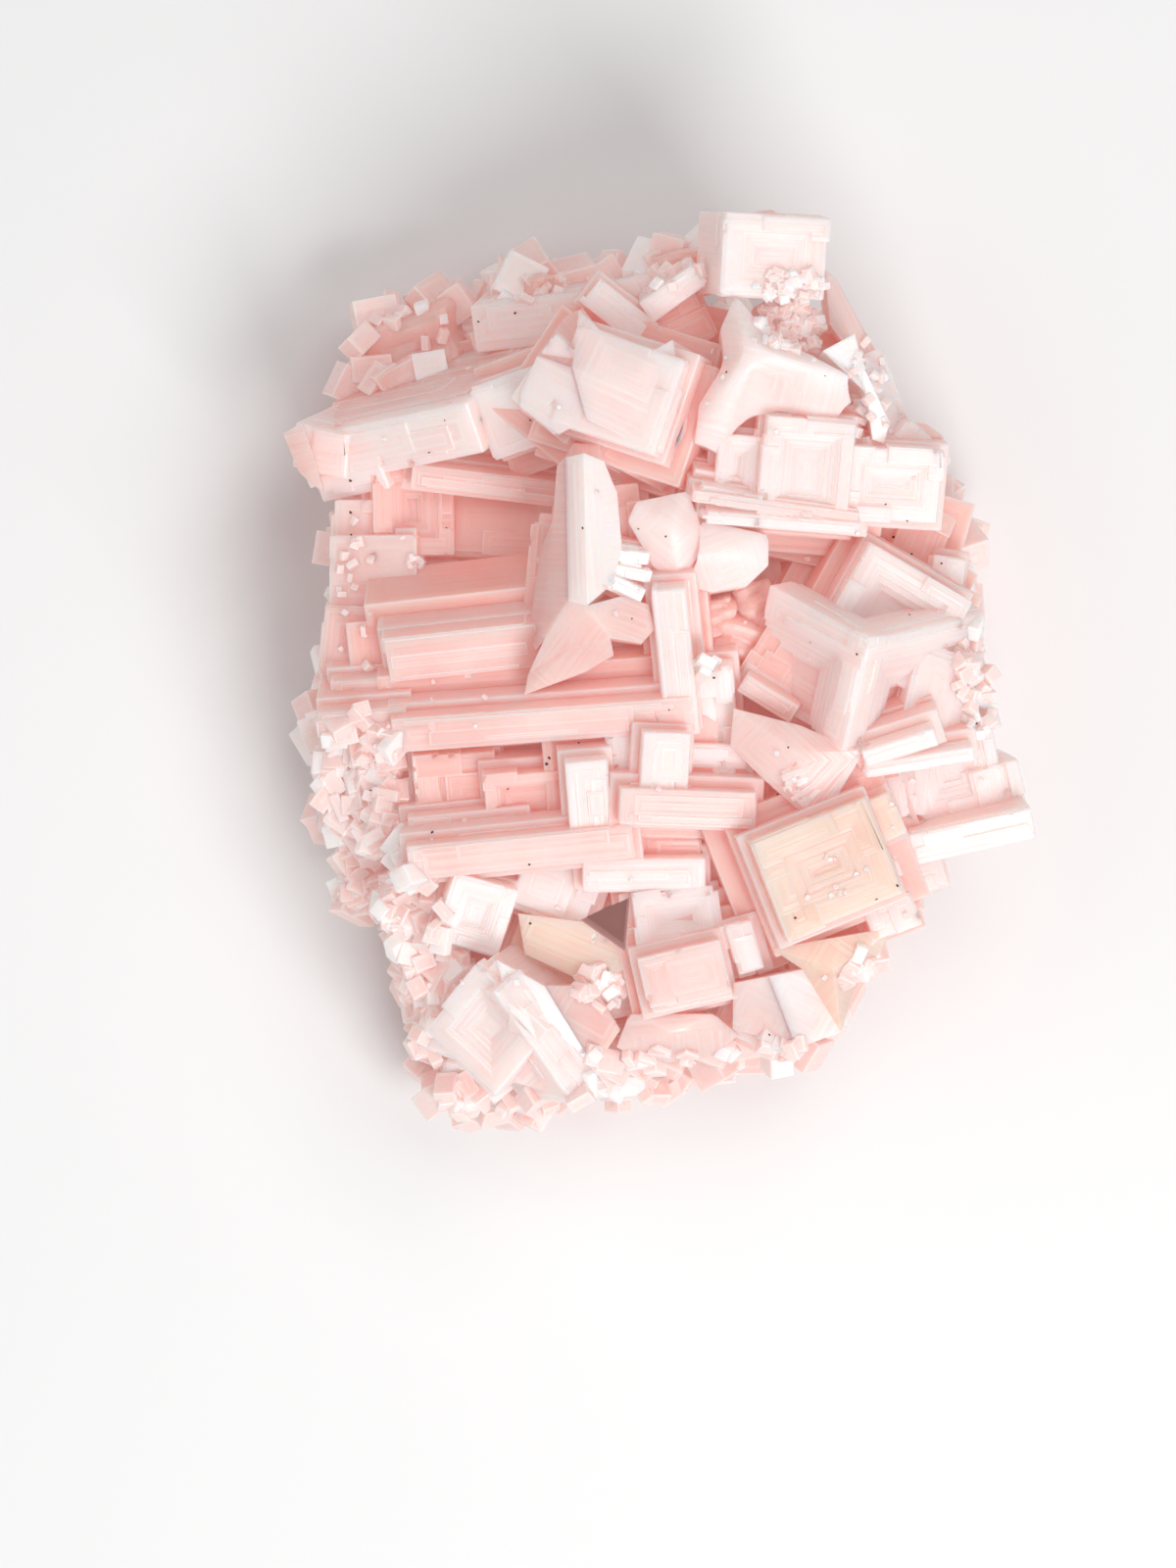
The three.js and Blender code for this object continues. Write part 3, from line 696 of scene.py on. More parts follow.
@dataclass
class Grower:
    """Turns crystals into bundles of stock shapes, and joins them.

    Args:
        stock: The shapes that the bundles are made of.
        wear: Width of a worn edge, in millimetres.
    """

    stock: Stock
    wear: float = 0.22
    parts: list[bpy.types.Object] = field(default_factory=list)
    nicks: list[bpy.types.Object] = field(default_factory=list)

    FACE_AXES = (np.array([1, 0, 0]), np.array([2, 2, 1]))
    # Skirts stay within the outline, which is a circle once Y is scaled by the aspect.
    OUTLINE = 52
    ASPECT = 0.82
    # The deeper skirts are rose and then blush: painted shade that deepens into the gaps.
    SKIRTS = ((1.1, 3.2, Finish.ROSE), (3.0, 7.0, Finish.BLUSH), (6.0, 11.0, Finish.BLUSH))
    SKIRT_REACH = 1.2
    SKIRT_LEAST = 0.4
    SKIRT_SPREAD = (0.6, 1.3)
    SKIRT_SHIFT = (-0.4, 0.4)
    NICKS_LEAST = 3
    NICK_EVERY = 4
    NICK = (0.5, 1.3)
    NICK_OUT = (0.3, 0.55)
    NICK_TILT = 0.5
    NICKED_EDGES = 0.6
    SOFT_CUTS = 4
    BAR_WEAR = 0.1
    BARS_LEAST = 5
    BARS_PER_MM = 0.45
    BARS_IN_FRONT = 0.55
    BARS_WHOLE = 0.7
    BAR_LENGTH = (0.25, 1.0)
    BAR_PAST = 0.8
    BAR_NARROW = (0.25, 0.5)
    BAR_WIDE_SHARE = 0.6
    BAR_DEPTH = 2
    BAR_PROUD = (0.06, 0.45)
    BAR_SIDE_PROUD = (0.05, 0.4)
    BAR_SIDE_WIDTH = (0.3, 2.5)
    BAR_SIDE_DOWN = (0.1, 9)
    SHEET_WEAR = 0.12
    SHEETS_LEAST = 4
    SHEET_EVERY = 3
    SHEETS_IN_FRONT = 0.5
    SHEETS_WHOLE = 0.6
    SHEET_SHARE = (0.2, 0.95)
    SHEET_PAST = 0.5
    SHEET_FRONT_DEPTH = 1.5
    SHEET_PROUD = (0.08, 0.7)
    SHEET_DEPTH = 1.2
    SHEET_SIDE_PROUD = (0.1, 1.0)
    SHEET_SIDE_SHARE = (0.2, 0.9)
    SHEET_SIDE_WIDTH = (0.5, 4)
    SHEET_SIDE_DOWN = (-0.2, 6)
    EDGE_BARS = 3
    EDGE_LENGTH = (0.35, 1)
    EDGE_PAST = (-0.2, 0.4)
    EDGE_NARROW = 0.25
    EDGE_WIDE_SHARE = 0.3
    EDGE_INSET_LEAST = 0.1
    EDGE_INSET_SHARE = 0.75
    EDGE_DEPTH = 1
    EDGE_PROUD = (0.08, 0.45)
    PIT_CURVE = 1.3
    PIT_CLEARANCE = 2
    PIT_LEAST = 0.2
    PIT_LEDGE = (0.25, 1.0)
    PIT_LEDGE_SHARE = 0.45

    def _fit(self, stock: bpy.types.Mesh, half: Vector, wear: float | None) -> bpy.types.Mesh:
        """Copies a stock shape at a size, keeping the width of its worn edges.

        Args:
            stock: The stock shape, two units across.
            half: Half of the size wanted, in millimetres.
            wear: Width that the stock's worn edge gets, or None to scale the whole shape.

        Returns:
            The new mesh, centred on its own axes, with its two face maps.
        """
        mesh = stock.copy()
        size = np.array(half[:])
        co = np.empty(len(mesh.vertices) * 3)
        mesh.vertices.foreach_get("co", co)
        co = co.reshape(-1, 3)
        if wear is None:
            co = co * size
        else:
            reach = np.minimum(wear / Stock.BEVEL, size)
            co = np.sign(co) * (size - (1 - np.abs(co)) * reach)
        mesh.vertices.foreach_set("co", co.ravel())
        mesh.update()
        self._map_faces(mesh, co, size)
        return mesh

    def _map_faces(self, mesh: bpy.types.Mesh, co: np.ndarray, half: np.ndarray) -> None:
        """Writes where each corner lies on its face, and how large the face is, for the growth lines.

        Args:
            mesh: The mesh that gets the two maps.
            co: Its vertices, in millimetres from the crystal's centre.
            half: Half of the crystal's size, in millimetres.
        """
        normals = np.empty(len(mesh.polygons) * 3)
        mesh.polygons.foreach_get("normal", normals)
        totals = np.empty(len(mesh.polygons), dtype=np.int32)
        mesh.polygons.foreach_get("loop_total", totals)
        corners = np.empty(len(mesh.loops), dtype=np.int32)
        mesh.loops.foreach_get("vertex_index", corners)
        axis = np.repeat(np.argmax(np.abs(normals.reshape(-1, 3)), axis=1), totals)
        first, second = (table[axis] for table in self.FACE_AXES)
        rows = co[corners]
        index = np.arange(len(rows))
        place = np.stack([rows[index, first], rows[index, second]], axis=1)
        extent = np.stack([half[first], half[second]], axis=1)
        extent = (np.floor(extent / EXTENT_STEP) + 0.5) * EXTENT_STEP
        for name, values in (("place", place), ("extent", extent)):
            mesh.uv_layers.new(name=name).uv.foreach_set("vector", values.ravel())

    def part(
        self,
        stock: bpy.types.Mesh,
        half: Vector,
        where: Matrix,
        finish: Finish,
        wear: float | None = None,
    ) -> bpy.types.Object:
        """Adds one stock shape to the scene.

        Args:
            stock: The stock shape.
            half: Half of its size, in millimetres.
            where: Its place in the cluster.
            finish: Its look.
            wear: Width of its worn edges, or None to scale the shape as it is.

        Returns:
            The new object.
        """
        mesh = self._fit(stock, half, wear)
        mesh.transform(where)
        for each in Finish:
            mesh.materials.append(MATERIALS[each])
        slots = np.full(len(mesh.polygons), finish.value, dtype=np.int32)
        mesh.polygons.foreach_set("material_index", slots)
        piece = bpy.data.objects.new("part", mesh)
        bpy.context.scene.collection.objects.link(piece)
        return piece

    def join(self, parts: list[bpy.types.Object], cutters: list[bpy.types.Object]) -> bpy.types.Object:
        """Joins overlapping parts into one skin and cuts the cutters out of it.

        Args:
            parts: The parts, of which the first becomes the result.
            cutters: What is cut away.

        Returns:
            The joined object.
        """
        body = parts[0]
        for operation, operands in (("UNION", parts[1:]), ("DIFFERENCE", cutters)):
            if not operands:
                continue
            gathered = bpy.data.collections.new("operands")
            bpy.context.scene.collection.children.link(gathered)
            for operand in operands:
                bpy.context.scene.collection.objects.unlink(operand)
                gathered.objects.link(operand)
            make_active(body)
            modifier = body.modifiers.new("join", "BOOLEAN")
            modifier.operation = operation
            modifier.solver = "MANIFOLD"
            modifier.operand_type = "COLLECTION"
            modifier.collection = gathered
            bpy.ops.object.modifier_apply(modifier=modifier.name)
            for operand in operands:
                mesh = operand.data
                bpy.data.objects.remove(operand)
                bpy.data.meshes.remove(mesh)
            bpy.data.collections.remove(gathered)
        return body

    def below(self) -> bpy.types.Object:
        """Returns the block that trims the back flat, at z = 0."""
        where = Matrix.Translation((0, 0, -BEYOND))
        return self.part(self.stock.block, Vector((BEYOND, BEYOND, BEYOND)), where, Finish.MILKY)

    def grow(self, crystal: Crystal, seed: int) -> None:
        """Grows one crystal and keeps its parts for the cluster.

        Args:
            crystal: The crystal.
            seed: Seed of its own random draws.
        """
        draws = random.Random(seed)
        if crystal.habit is Habit.CORE:
            where = crystal.placement()
            # Cores are blush, the darkest pink, which paints the deep shade in the gaps where they show.
            self.parts.append(self.part(self.stock.block, crystal.half, where, Finish.BLUSH))
            return
        if crystal.habit is Habit.LUMP:
            lump = draws.choice(self.stock.lumps)
            self.parts.append(self.part(lump, crystal.half, crystal.placement(), crystal.finish))
            return
        parts = self._body(crystal, draws)
        self._chip(crystal, draws)
        if crystal.pit is None:
            self.parts.extend(parts)
        else:
            self.parts.append(self.join(parts, self._pit(crystal, draws)))
        self.parts.extend(self._skirts(crystal, draws))

    def grow_shard(self, shard: Shard) -> None:
        """Grows one irregular crystal and keeps it for the cluster.

        Args:
            shard: The crystal.
        """
        where = Matrix.Translation(shard.middle) @ Matrix.Rotation(math.radians(shard.roll), 4, "Z")
        inward = where.inverted()
        rim = [inward @ Vector(corner) for corner in shard.rim]
        if sum(a.x * b.y - b.x * a.y for a, b in zip(rim, rim[1:] + rim[:1])) < 0:
            rim.reverse()
        peak = inward @ Vector(shard.peak or shard.middle)
        deselect_all()
        bpy.ops.mesh.primitive_circle_add(vertices=len(rim), radius=1, fill_type="TRIFAN")
        piece = bpy.context.object
        mesh = piece.data
        hub = min(mesh.vertices, key=lambda vertex: vertex.co.length)
        ring = [vertex for vertex in mesh.vertices if vertex.index != hub.index]
        ring.sort(key=lambda vertex: math.atan2(vertex.co.y, vertex.co.x))
        hub.co = peak
        for vertex, corner in zip(ring, rim):
            vertex.co = corner
        bpy.ops.object.mode_set(mode="EDIT")
        bpy.ops.mesh.select_all(action="SELECT")
        if shard.soft:
            bpy.ops.mesh.subdivide(number_cuts=self.SOFT_CUTS)
            bpy.ops.mesh.vertices_smooth(factor=0.5, repeat=shard.soft)
        bpy.ops.mesh.extrude_region_move()
        bpy.ops.object.mode_set(mode="OBJECT")
        floor = min(vertex.co.z for vertex in mesh.vertices) - shard.depth
        for vertex in mesh.vertices:
            if vertex.select:
                vertex.co.z = floor
        bpy.ops.object.mode_set(mode="EDIT")
        bpy.ops.mesh.select_all(action="SELECT")
        bpy.ops.mesh.normals_make_consistent(inside=False)
        stock = self.stock.take("shard")
        half = Vector([max(abs(vertex.co[i]) for vertex in stock.vertices) for i in range(3)])
        scaled = Matrix.Diagonal((1 / half.x, 1 / half.y, 1 / half.z, 1))
        stock.transform(scaled)
        self.parts.append(self.part(stock, half, where, shard.finish))
        bpy.data.meshes.remove(stock)

    def _body(self, crystal: Crystal, draws: random.Random) -> list[bpy.types.Object]:
        """Returns the crystal's main shape with the sheets and bars that lie along its faces.

        Args:
            crystal: The crystal.
            draws: Its random draws.
        """
        half = crystal.half
        where = crystal.placement()
        parts = [self.part(self.stock.bar, half, where, crystal.finish, self.wear)]
        if crystal.habit is Habit.BAR:
            parts += self._bars(crystal, draws, where)
        elif crystal.habit is Habit.STAR:
            parts += self._edges(crystal, draws, where)
        else:
            parts += self._sheets(crystal, draws, where)
        return parts

    def _chip(self, crystal: Crystal, draws: random.Random) -> None:
        """Keeps a few small blocks that break the edges of the crystal's front face.

        Args:
            crystal: The crystal.
            draws: Its random draws.
        """
        half = crystal.half
        where = crystal.placement()
        for _ in range(self.NICKS_LEAST + round((half.x + half.y) / self.NICK_EVERY)):
            size = Vector([draws.uniform(*self.NICK) for _ in range(3)]) / 2
            along = draws.choice((0, 1))
            spot = Vector((draws.choice((-1, 1)) * half.x, draws.choice((-1, 1)) * half.y, half.z))
            if draws.random() < self.NICKED_EDGES:
                spot[along] *= draws.uniform(-1, 1)
            outwards = Vector((spot.x / half.x, spot.y / half.y, 1)).normalized()
            tilts = [draws.uniform(-self.NICK_TILT, self.NICK_TILT) for _ in range(3)]
            turn = Euler(tilts).to_matrix().to_4x4()
            spot += outwards * size.length * draws.uniform(*self.NICK_OUT)
            place = where @ Matrix.Translation(spot) @ turn
            self.nicks.append(self.part(self.stock.block, size, place, crystal.finish))

    def _skirts(self, crystal: Crystal, draws: random.Random) -> list[bpy.types.Object]:
        """Returns the wider sheets that the crystal stands on, which step down into the gaps round it. The
        lower ones are pinker, which paints the shade that deepens into the gaps.

        Args:
            crystal: The crystal.
            draws: Its random draws.
        """
        half = crystal.half
        where = crystal.placement()
        reach = self.SKIRT_REACH * max(half.x, half.y)
        room = self.OUTLINE - math.hypot(crystal.at[0], crystal.at[1] * self.ASPECT) - reach
        made = []
        for spread, drop, finish in self.SKIRTS:
            spread = min(spread, room / 2)
            if spread < self.SKIRT_LEAST or drop > half.z:
                continue
            size = Vector(half)
            offset = Vector((0, 0, 0))
            for i in range(3):
                grow = spread * draws.uniform(*self.SKIRT_SPREAD)
                if crystal.cornered:
                    size[i] += (grow - drop) / 2
                    offset[i] = -(grow + drop) / 2
                elif i < 2:
                    size[i] += grow
                    offset[i] = draws.uniform(*self.SKIRT_SHIFT) * spread
                else:
                    size.z -= drop / 2
                    offset.z = -drop / 2
            place = where @ Matrix.Translation(offset)
            made.append(self.part(self.stock.bar, size, place, finish, self.wear))
        return made

    def _bars(self, crystal: Crystal, draws: random.Random, where: Matrix) -> list[bpy.types.Object]:
        """Returns thin bars along a long crystal's length, proud of its front, top and bottom faces.

        Args:
            crystal: The crystal.
            draws: Its random draws.
            where: Its place.
        """
        half = crystal.half
        along = 0 if half.x >= half.y else 1
        across = 1 - along
        made = []
        count = round(half[along] * self.BARS_PER_MM) + round(half[across])
        for _ in range(max(self.BARS_LEAST, count)):
            length = half[along] * draws.uniform(*self.BAR_LENGTH)
            shift = draws.uniform(-1, 1) * (half[along] - length)
            shift += draws.uniform(-self.BAR_PAST, self.BAR_PAST)
            size = Vector((0, 0, 0))
            offset = Vector((0, 0, 0))
            size[along] = length
            offset[along] = shift
            if draws.random() < self.BARS_IN_FRONT:
                widest = max(self.BAR_NARROW[1], half[across] * self.BAR_WIDE_SHARE)
                size[across] = draws.uniform(self.BAR_NARROW[0], widest)
                offset[across] = draws.uniform(-1, 1) * (half[across] - size[across])
                size.z = self.BAR_DEPTH
                offset.z = half.z + draws.uniform(*self.BAR_PROUD) - size.z
            else:
                side = draws.choice((-1, 1))
                size[across] = self.SHEET_DEPTH
                proud = draws.uniform(*self.BAR_SIDE_PROUD)
                offset[across] = side * (half[across] + proud - size[across])
                size.z = draws.uniform(*self.BAR_SIDE_WIDTH)
                offset.z = half.z - size.z - draws.uniform(*self.BAR_SIDE_DOWN)
            whole = draws.random() < self.BARS_WHOLE
            stock = self.stock.bar if whole else draws.choice(self.stock.chipped)
            place = where @ Matrix.Translation(offset)
            made.append(self.part(stock, size, place, crystal.finish, self.BAR_WEAR))
        return made

    def _sheets(self, crystal: Crystal, draws: random.Random, where: Matrix) -> list[bpy.types.Object]:
        """Returns sheets that lie on a block's front and sides, each starting from one of its corners.

        Args:
            crystal: The crystal.
            draws: Its random draws.
            where: Its place.
        """
        half = crystal.half
        made = []
        for _ in range(self.SHEETS_LEAST + round((half.x + half.y) / self.SHEET_EVERY)):
            size = Vector((0, 0, 0))
            offset = Vector((0, 0, 0))
            if draws.random() < self.SHEETS_IN_FRONT:
                for i in (0, 1):
                    size[i] = half[i] * draws.uniform(*self.SHEET_SHARE)
                    side = draws.choice((-1, 1))
                    offset[i] = side * (half[i] - size[i] + draws.uniform(-self.SHEET_PAST, self.SHEET_PAST))
                size.z = self.SHEET_FRONT_DEPTH
                offset.z = half.z + draws.uniform(*self.SHEET_PROUD) - size.z
            else:
                i = draws.choice((0, 1))
                side = draws.choice((-1, 1))
                size[i] = self.SHEET_DEPTH
                offset[i] = side * (half[i] + draws.uniform(*self.SHEET_SIDE_PROUD) - size[i])
                size[1 - i] = half[1 - i] * draws.uniform(*self.SHEET_SIDE_SHARE)
                offset[1 - i] = draws.choice((-1, 1)) * (half[1 - i] - size[1 - i])
                size.z = draws.uniform(*self.SHEET_SIDE_WIDTH)
                offset.z = half.z - size.z - draws.uniform(*self.SHEET_SIDE_DOWN)
            whole = draws.random() < self.SHEETS_WHOLE
            stock = self.stock.bar if whole else draws.choice(self.stock.chipped)
            place = where @ Matrix.Translation(offset)
            made.append(self.part(stock, size, place, crystal.finish, self.SHEET_WEAR))
        return made

    def _edges(self, crystal: Crystal, draws: random.Random, where: Matrix) -> list[bpy.types.Object]:
        """Returns bars along the three edges that meet at a star's raised corner.

        Args:
            crystal: The crystal.
            draws: Its random draws.
            where: Its place.
        """
        half = crystal.half
        rim = crystal.pit.rim
        made = []
        for along in range(3):
            for other in (i for i in range(3) if i != along):
                for _ in range(self.EDGE_BARS):
                    size = Vector((0, 0, 0))
                    offset = Vector((0, 0, 0))
                    size[along] = half[along] * draws.uniform(*self.EDGE_LENGTH)
                    offset[along] = half[along] - size[along] + draws.uniform(*self.EDGE_PAST)
                    size[other] = draws.uniform(self.EDGE_NARROW, rim * self.EDGE_WIDE_SHARE)
                    inset = draws.uniform(self.EDGE_INSET_LEAST, rim * self.EDGE_INSET_SHARE)
                    offset[other] = half[other] - inset - size[other]
                    third = 3 - along - other
                    size[third] = self.EDGE_DEPTH
                    offset[third] = half[third] + draws.uniform(*self.EDGE_PROUD) - size[third]
                    place = where @ Matrix.Translation(offset)
                    made.append(self.part(self.stock.bar, size, place, crystal.finish, self.SHEET_WEAR))
        return made

    def _pit(self, crystal: Crystal, draws: random.Random) -> list[bpy.types.Object]:
        """Returns the blocks that cut a crystal's sunken faces, one for each ledge.

        Args:
            crystal: The crystal.
            draws: Its random draws.
        """
        pit = crystal.pit
        half = crystal.half
        where = crystal.placement()
        made = []
        faces = [(pit.faces[i], "xyz".index(pit.faces[i + 1])) for i in range(0, len(pit.faces), 2)]
        for sign, axis in faces:
            way = 1 if sign == "+" else -1
            margin = pit.rim
            for ledge in range(1, pit.ledges + 1):
                depth = pit.depth * (ledge / pit.ledges) ** self.PIT_CURVE
                size = Vector(half) - Vector((margin, margin, margin))
                offset = Vector((0, 0, 0))
                if crystal.cornered:
                    # The far sides are open: only the edges that meet at the corner stand proud.
                    for i in range(3):
                        size[i] += half[i] / 2
                        offset[i] = half[i] - margin - size[i]
                size[axis] = depth + self.PIT_CLEARANCE
                offset[axis] = way * (half[axis] + self.PIT_CLEARANCE)
                if min(size) > self.PIT_LEAST:
                    place = where @ Matrix.Translation(offset)
                    made.append(self.part(self.stock.block, size, place, crystal.finish))
                margin += draws.uniform(*self.PIT_LEDGE) * pit.rim * self.PIT_LEDGE_SHARE
        return made


class SlabRibs:
    """The thin ribs on the slab's upper face, one behind the other down to its back."""

    COUNT = 17
    STEP = 2.1
    THICKNESS = 6.0
    DEPTH = 16
    RISE = (-0.2, 0.9)
    SHIFT = (-1, 1)
    LONGER = (-3, 2)
    FRONT = UPPER_LEFT[0]

    def crystals(self) -> list[Crystal]:
        """Returns the ribs, nearest first."""
        draws = random.Random(31)
        half = self.FRONT.half
        where = self.FRONT.placement()
        ribs = []
        for i in range(self.COUNT):
            rise = draws.uniform(*self.RISE)
            shift = draws.uniform(*self.SHIFT)
            spot = Vector((shift, half.y - self.THICKNESS / 2 + rise, half.z - self.STEP * (i + 1)))
            size = (self.FRONT.size[0] + draws.uniform(*self.LONGER), self.THICKNESS, self.DEPTH)
            # The ribs are rose and blush against the slab's milky front: painted shade on its upper face,
            # which turns from the light.
            finish = Finish.BLUSH if i % 3 == 2 else Finish.ROSE
            ribs.append(Crystal(tuple(where @ spot), size, SLAB, Habit.BAR, None, finish))
        return ribs


class Flanks:
    """The crystals round the sides, all the way down to the flat back.

    The ratios in crystals() are far from simple fractions, so that sizes, heights and turns don't repeat
    together.
    """

    COUNT = 56
    MIDDLE = (-1, -2)
    REACH = (45, 57)
    HEIGHT = (5, 31)
    SIDE = (8, 14)
    RISE = (0.05, 0.7)
    DEPTH = 26

    @staticmethod
    def _spread(index: int, ratio: float) -> float:
        """Returns the index's place between 0 and 1 in an even spread."""
        return (index * ratio) % 1

    def crystals(self) -> list[Crystal]:
        """Returns the ring of crystals, which face outwards and a little up."""
        placed = []
        for i in range(self.COUNT):
            bearing = i * GOLDEN_ANGLE
            rise = self.RISE[0] + (self.RISE[1] - self.RISE[0]) * self._spread(i, 0.618)
            height = self.HEIGHT[0] + (self.HEIGHT[1] - self.HEIGHT[0]) * self._spread(i, 0.755)
            side = self.SIDE[0] + (self.SIDE[1] - self.SIDE[0]) * self._spread(i, 0.57)
            outward = Vector((math.cos(bearing), math.sin(bearing), math.tan(rise))).normalized()
            at = (
                self.MIDDLE[0] + self.REACH[0] * math.cos(bearing),
                self.MIDDLE[1] + self.REACH[1] * math.sin(bearing),
                height,
            )
            lean = math.degrees(math.asin(outward.y))
            turn = math.degrees(math.atan2(outward.x, outward.z))
            lattice = Lattice(90 * self._spread(i, 0.414), lean, turn)
            size = (side, side * (0.7 + 0.5 * self._spread(i, 0.33)), self.DEPTH)
            pit = Pit("+z", 1.4, 1.2, 4) if i % 2 else None
            placed.append(Crystal(at, size, lattice, Habit.BLOCK, pit))
        return placed


def add_node(
    tree: bpy.types.NodeTree, kind: str, inputs: dict[str | int, object], **settings: object
) -> bpy.types.Node:
    """Adds a node to a tree.

    Args:
        tree: The tree.
        kind: The node's type.
        inputs: What each of its inputs gets: another node's output to link to, or a plain value.
        settings: Its other settings, such as the operation that it works out.

    Returns:
        The node.
    """
    node = tree.nodes.new(kind)
    for name, value in settings.items():
        setattr(node, name, value)
    for name, value in inputs.items():
        if isinstance(value, bpy.types.NodeSocket):
            tree.links.new(value, node.inputs[name])
        else:
            node.inputs[name].default_value = value
    return node


def add_range(
    tree: bpy.types.NodeTree,
    value: bpy.types.NodeSocket,
    source: tuple[float, float],
    target: tuple[float, float] = (0.0, 1.0),
) -> bpy.types.NodeSocket:
    """Adds a node that maps one range of numbers onto another, and stops at its ends.

    Args:
        tree: The tree.
        value: The number that is mapped.
        source: The range that it comes from.
        target: The range that it goes to.

    Returns:
        The output that carries the result.
    """
    ends = {"From Min": source[0], "From Max": source[1], "To Min": target[0], "To Max": target[1]}
    return add_node(tree, "ShaderNodeMapRange", {"Value": value, **ends}).outputs["Result"]


def add_math(
    tree: bpy.types.NodeTree, operation: str, *inputs: bpy.types.NodeSocket | float
) -> bpy.types.NodeSocket:
    """Adds a node that works out one number.

    Args:
        tree: The tree.
        operation: What it works out.
        inputs: Its inputs, in order.

    Returns:
        The output that carries the result.
    """
    return add_node(tree, "ShaderNodeMath", dict(enumerate(inputs)), operation=operation).outputs[0]


def add_group(name: str, inputs: dict[str, str], outputs: tuple[str, ...]) -> bpy.types.NodeTree:
    """Adds an empty group of shader nodes.

    Args:
        name: The group's name.
        inputs: The group's inputs, and whether each is a Vector or a Float.
        outputs: The group's outputs, which are all plain numbers.

    Returns:
        The group.
    """
    tree = bpy.data.node_groups.new(name, "ShaderNodeTree")
    for socket, kind in inputs.items():
        tree.interface.new_socket(socket, in_out="INPUT", socket_type=f"NodeSocket{kind}")
    for socket in outputs:
        tree.interface.new_socket(socket, in_out="OUTPUT", socket_type="NodeSocketFloat")
    return tree


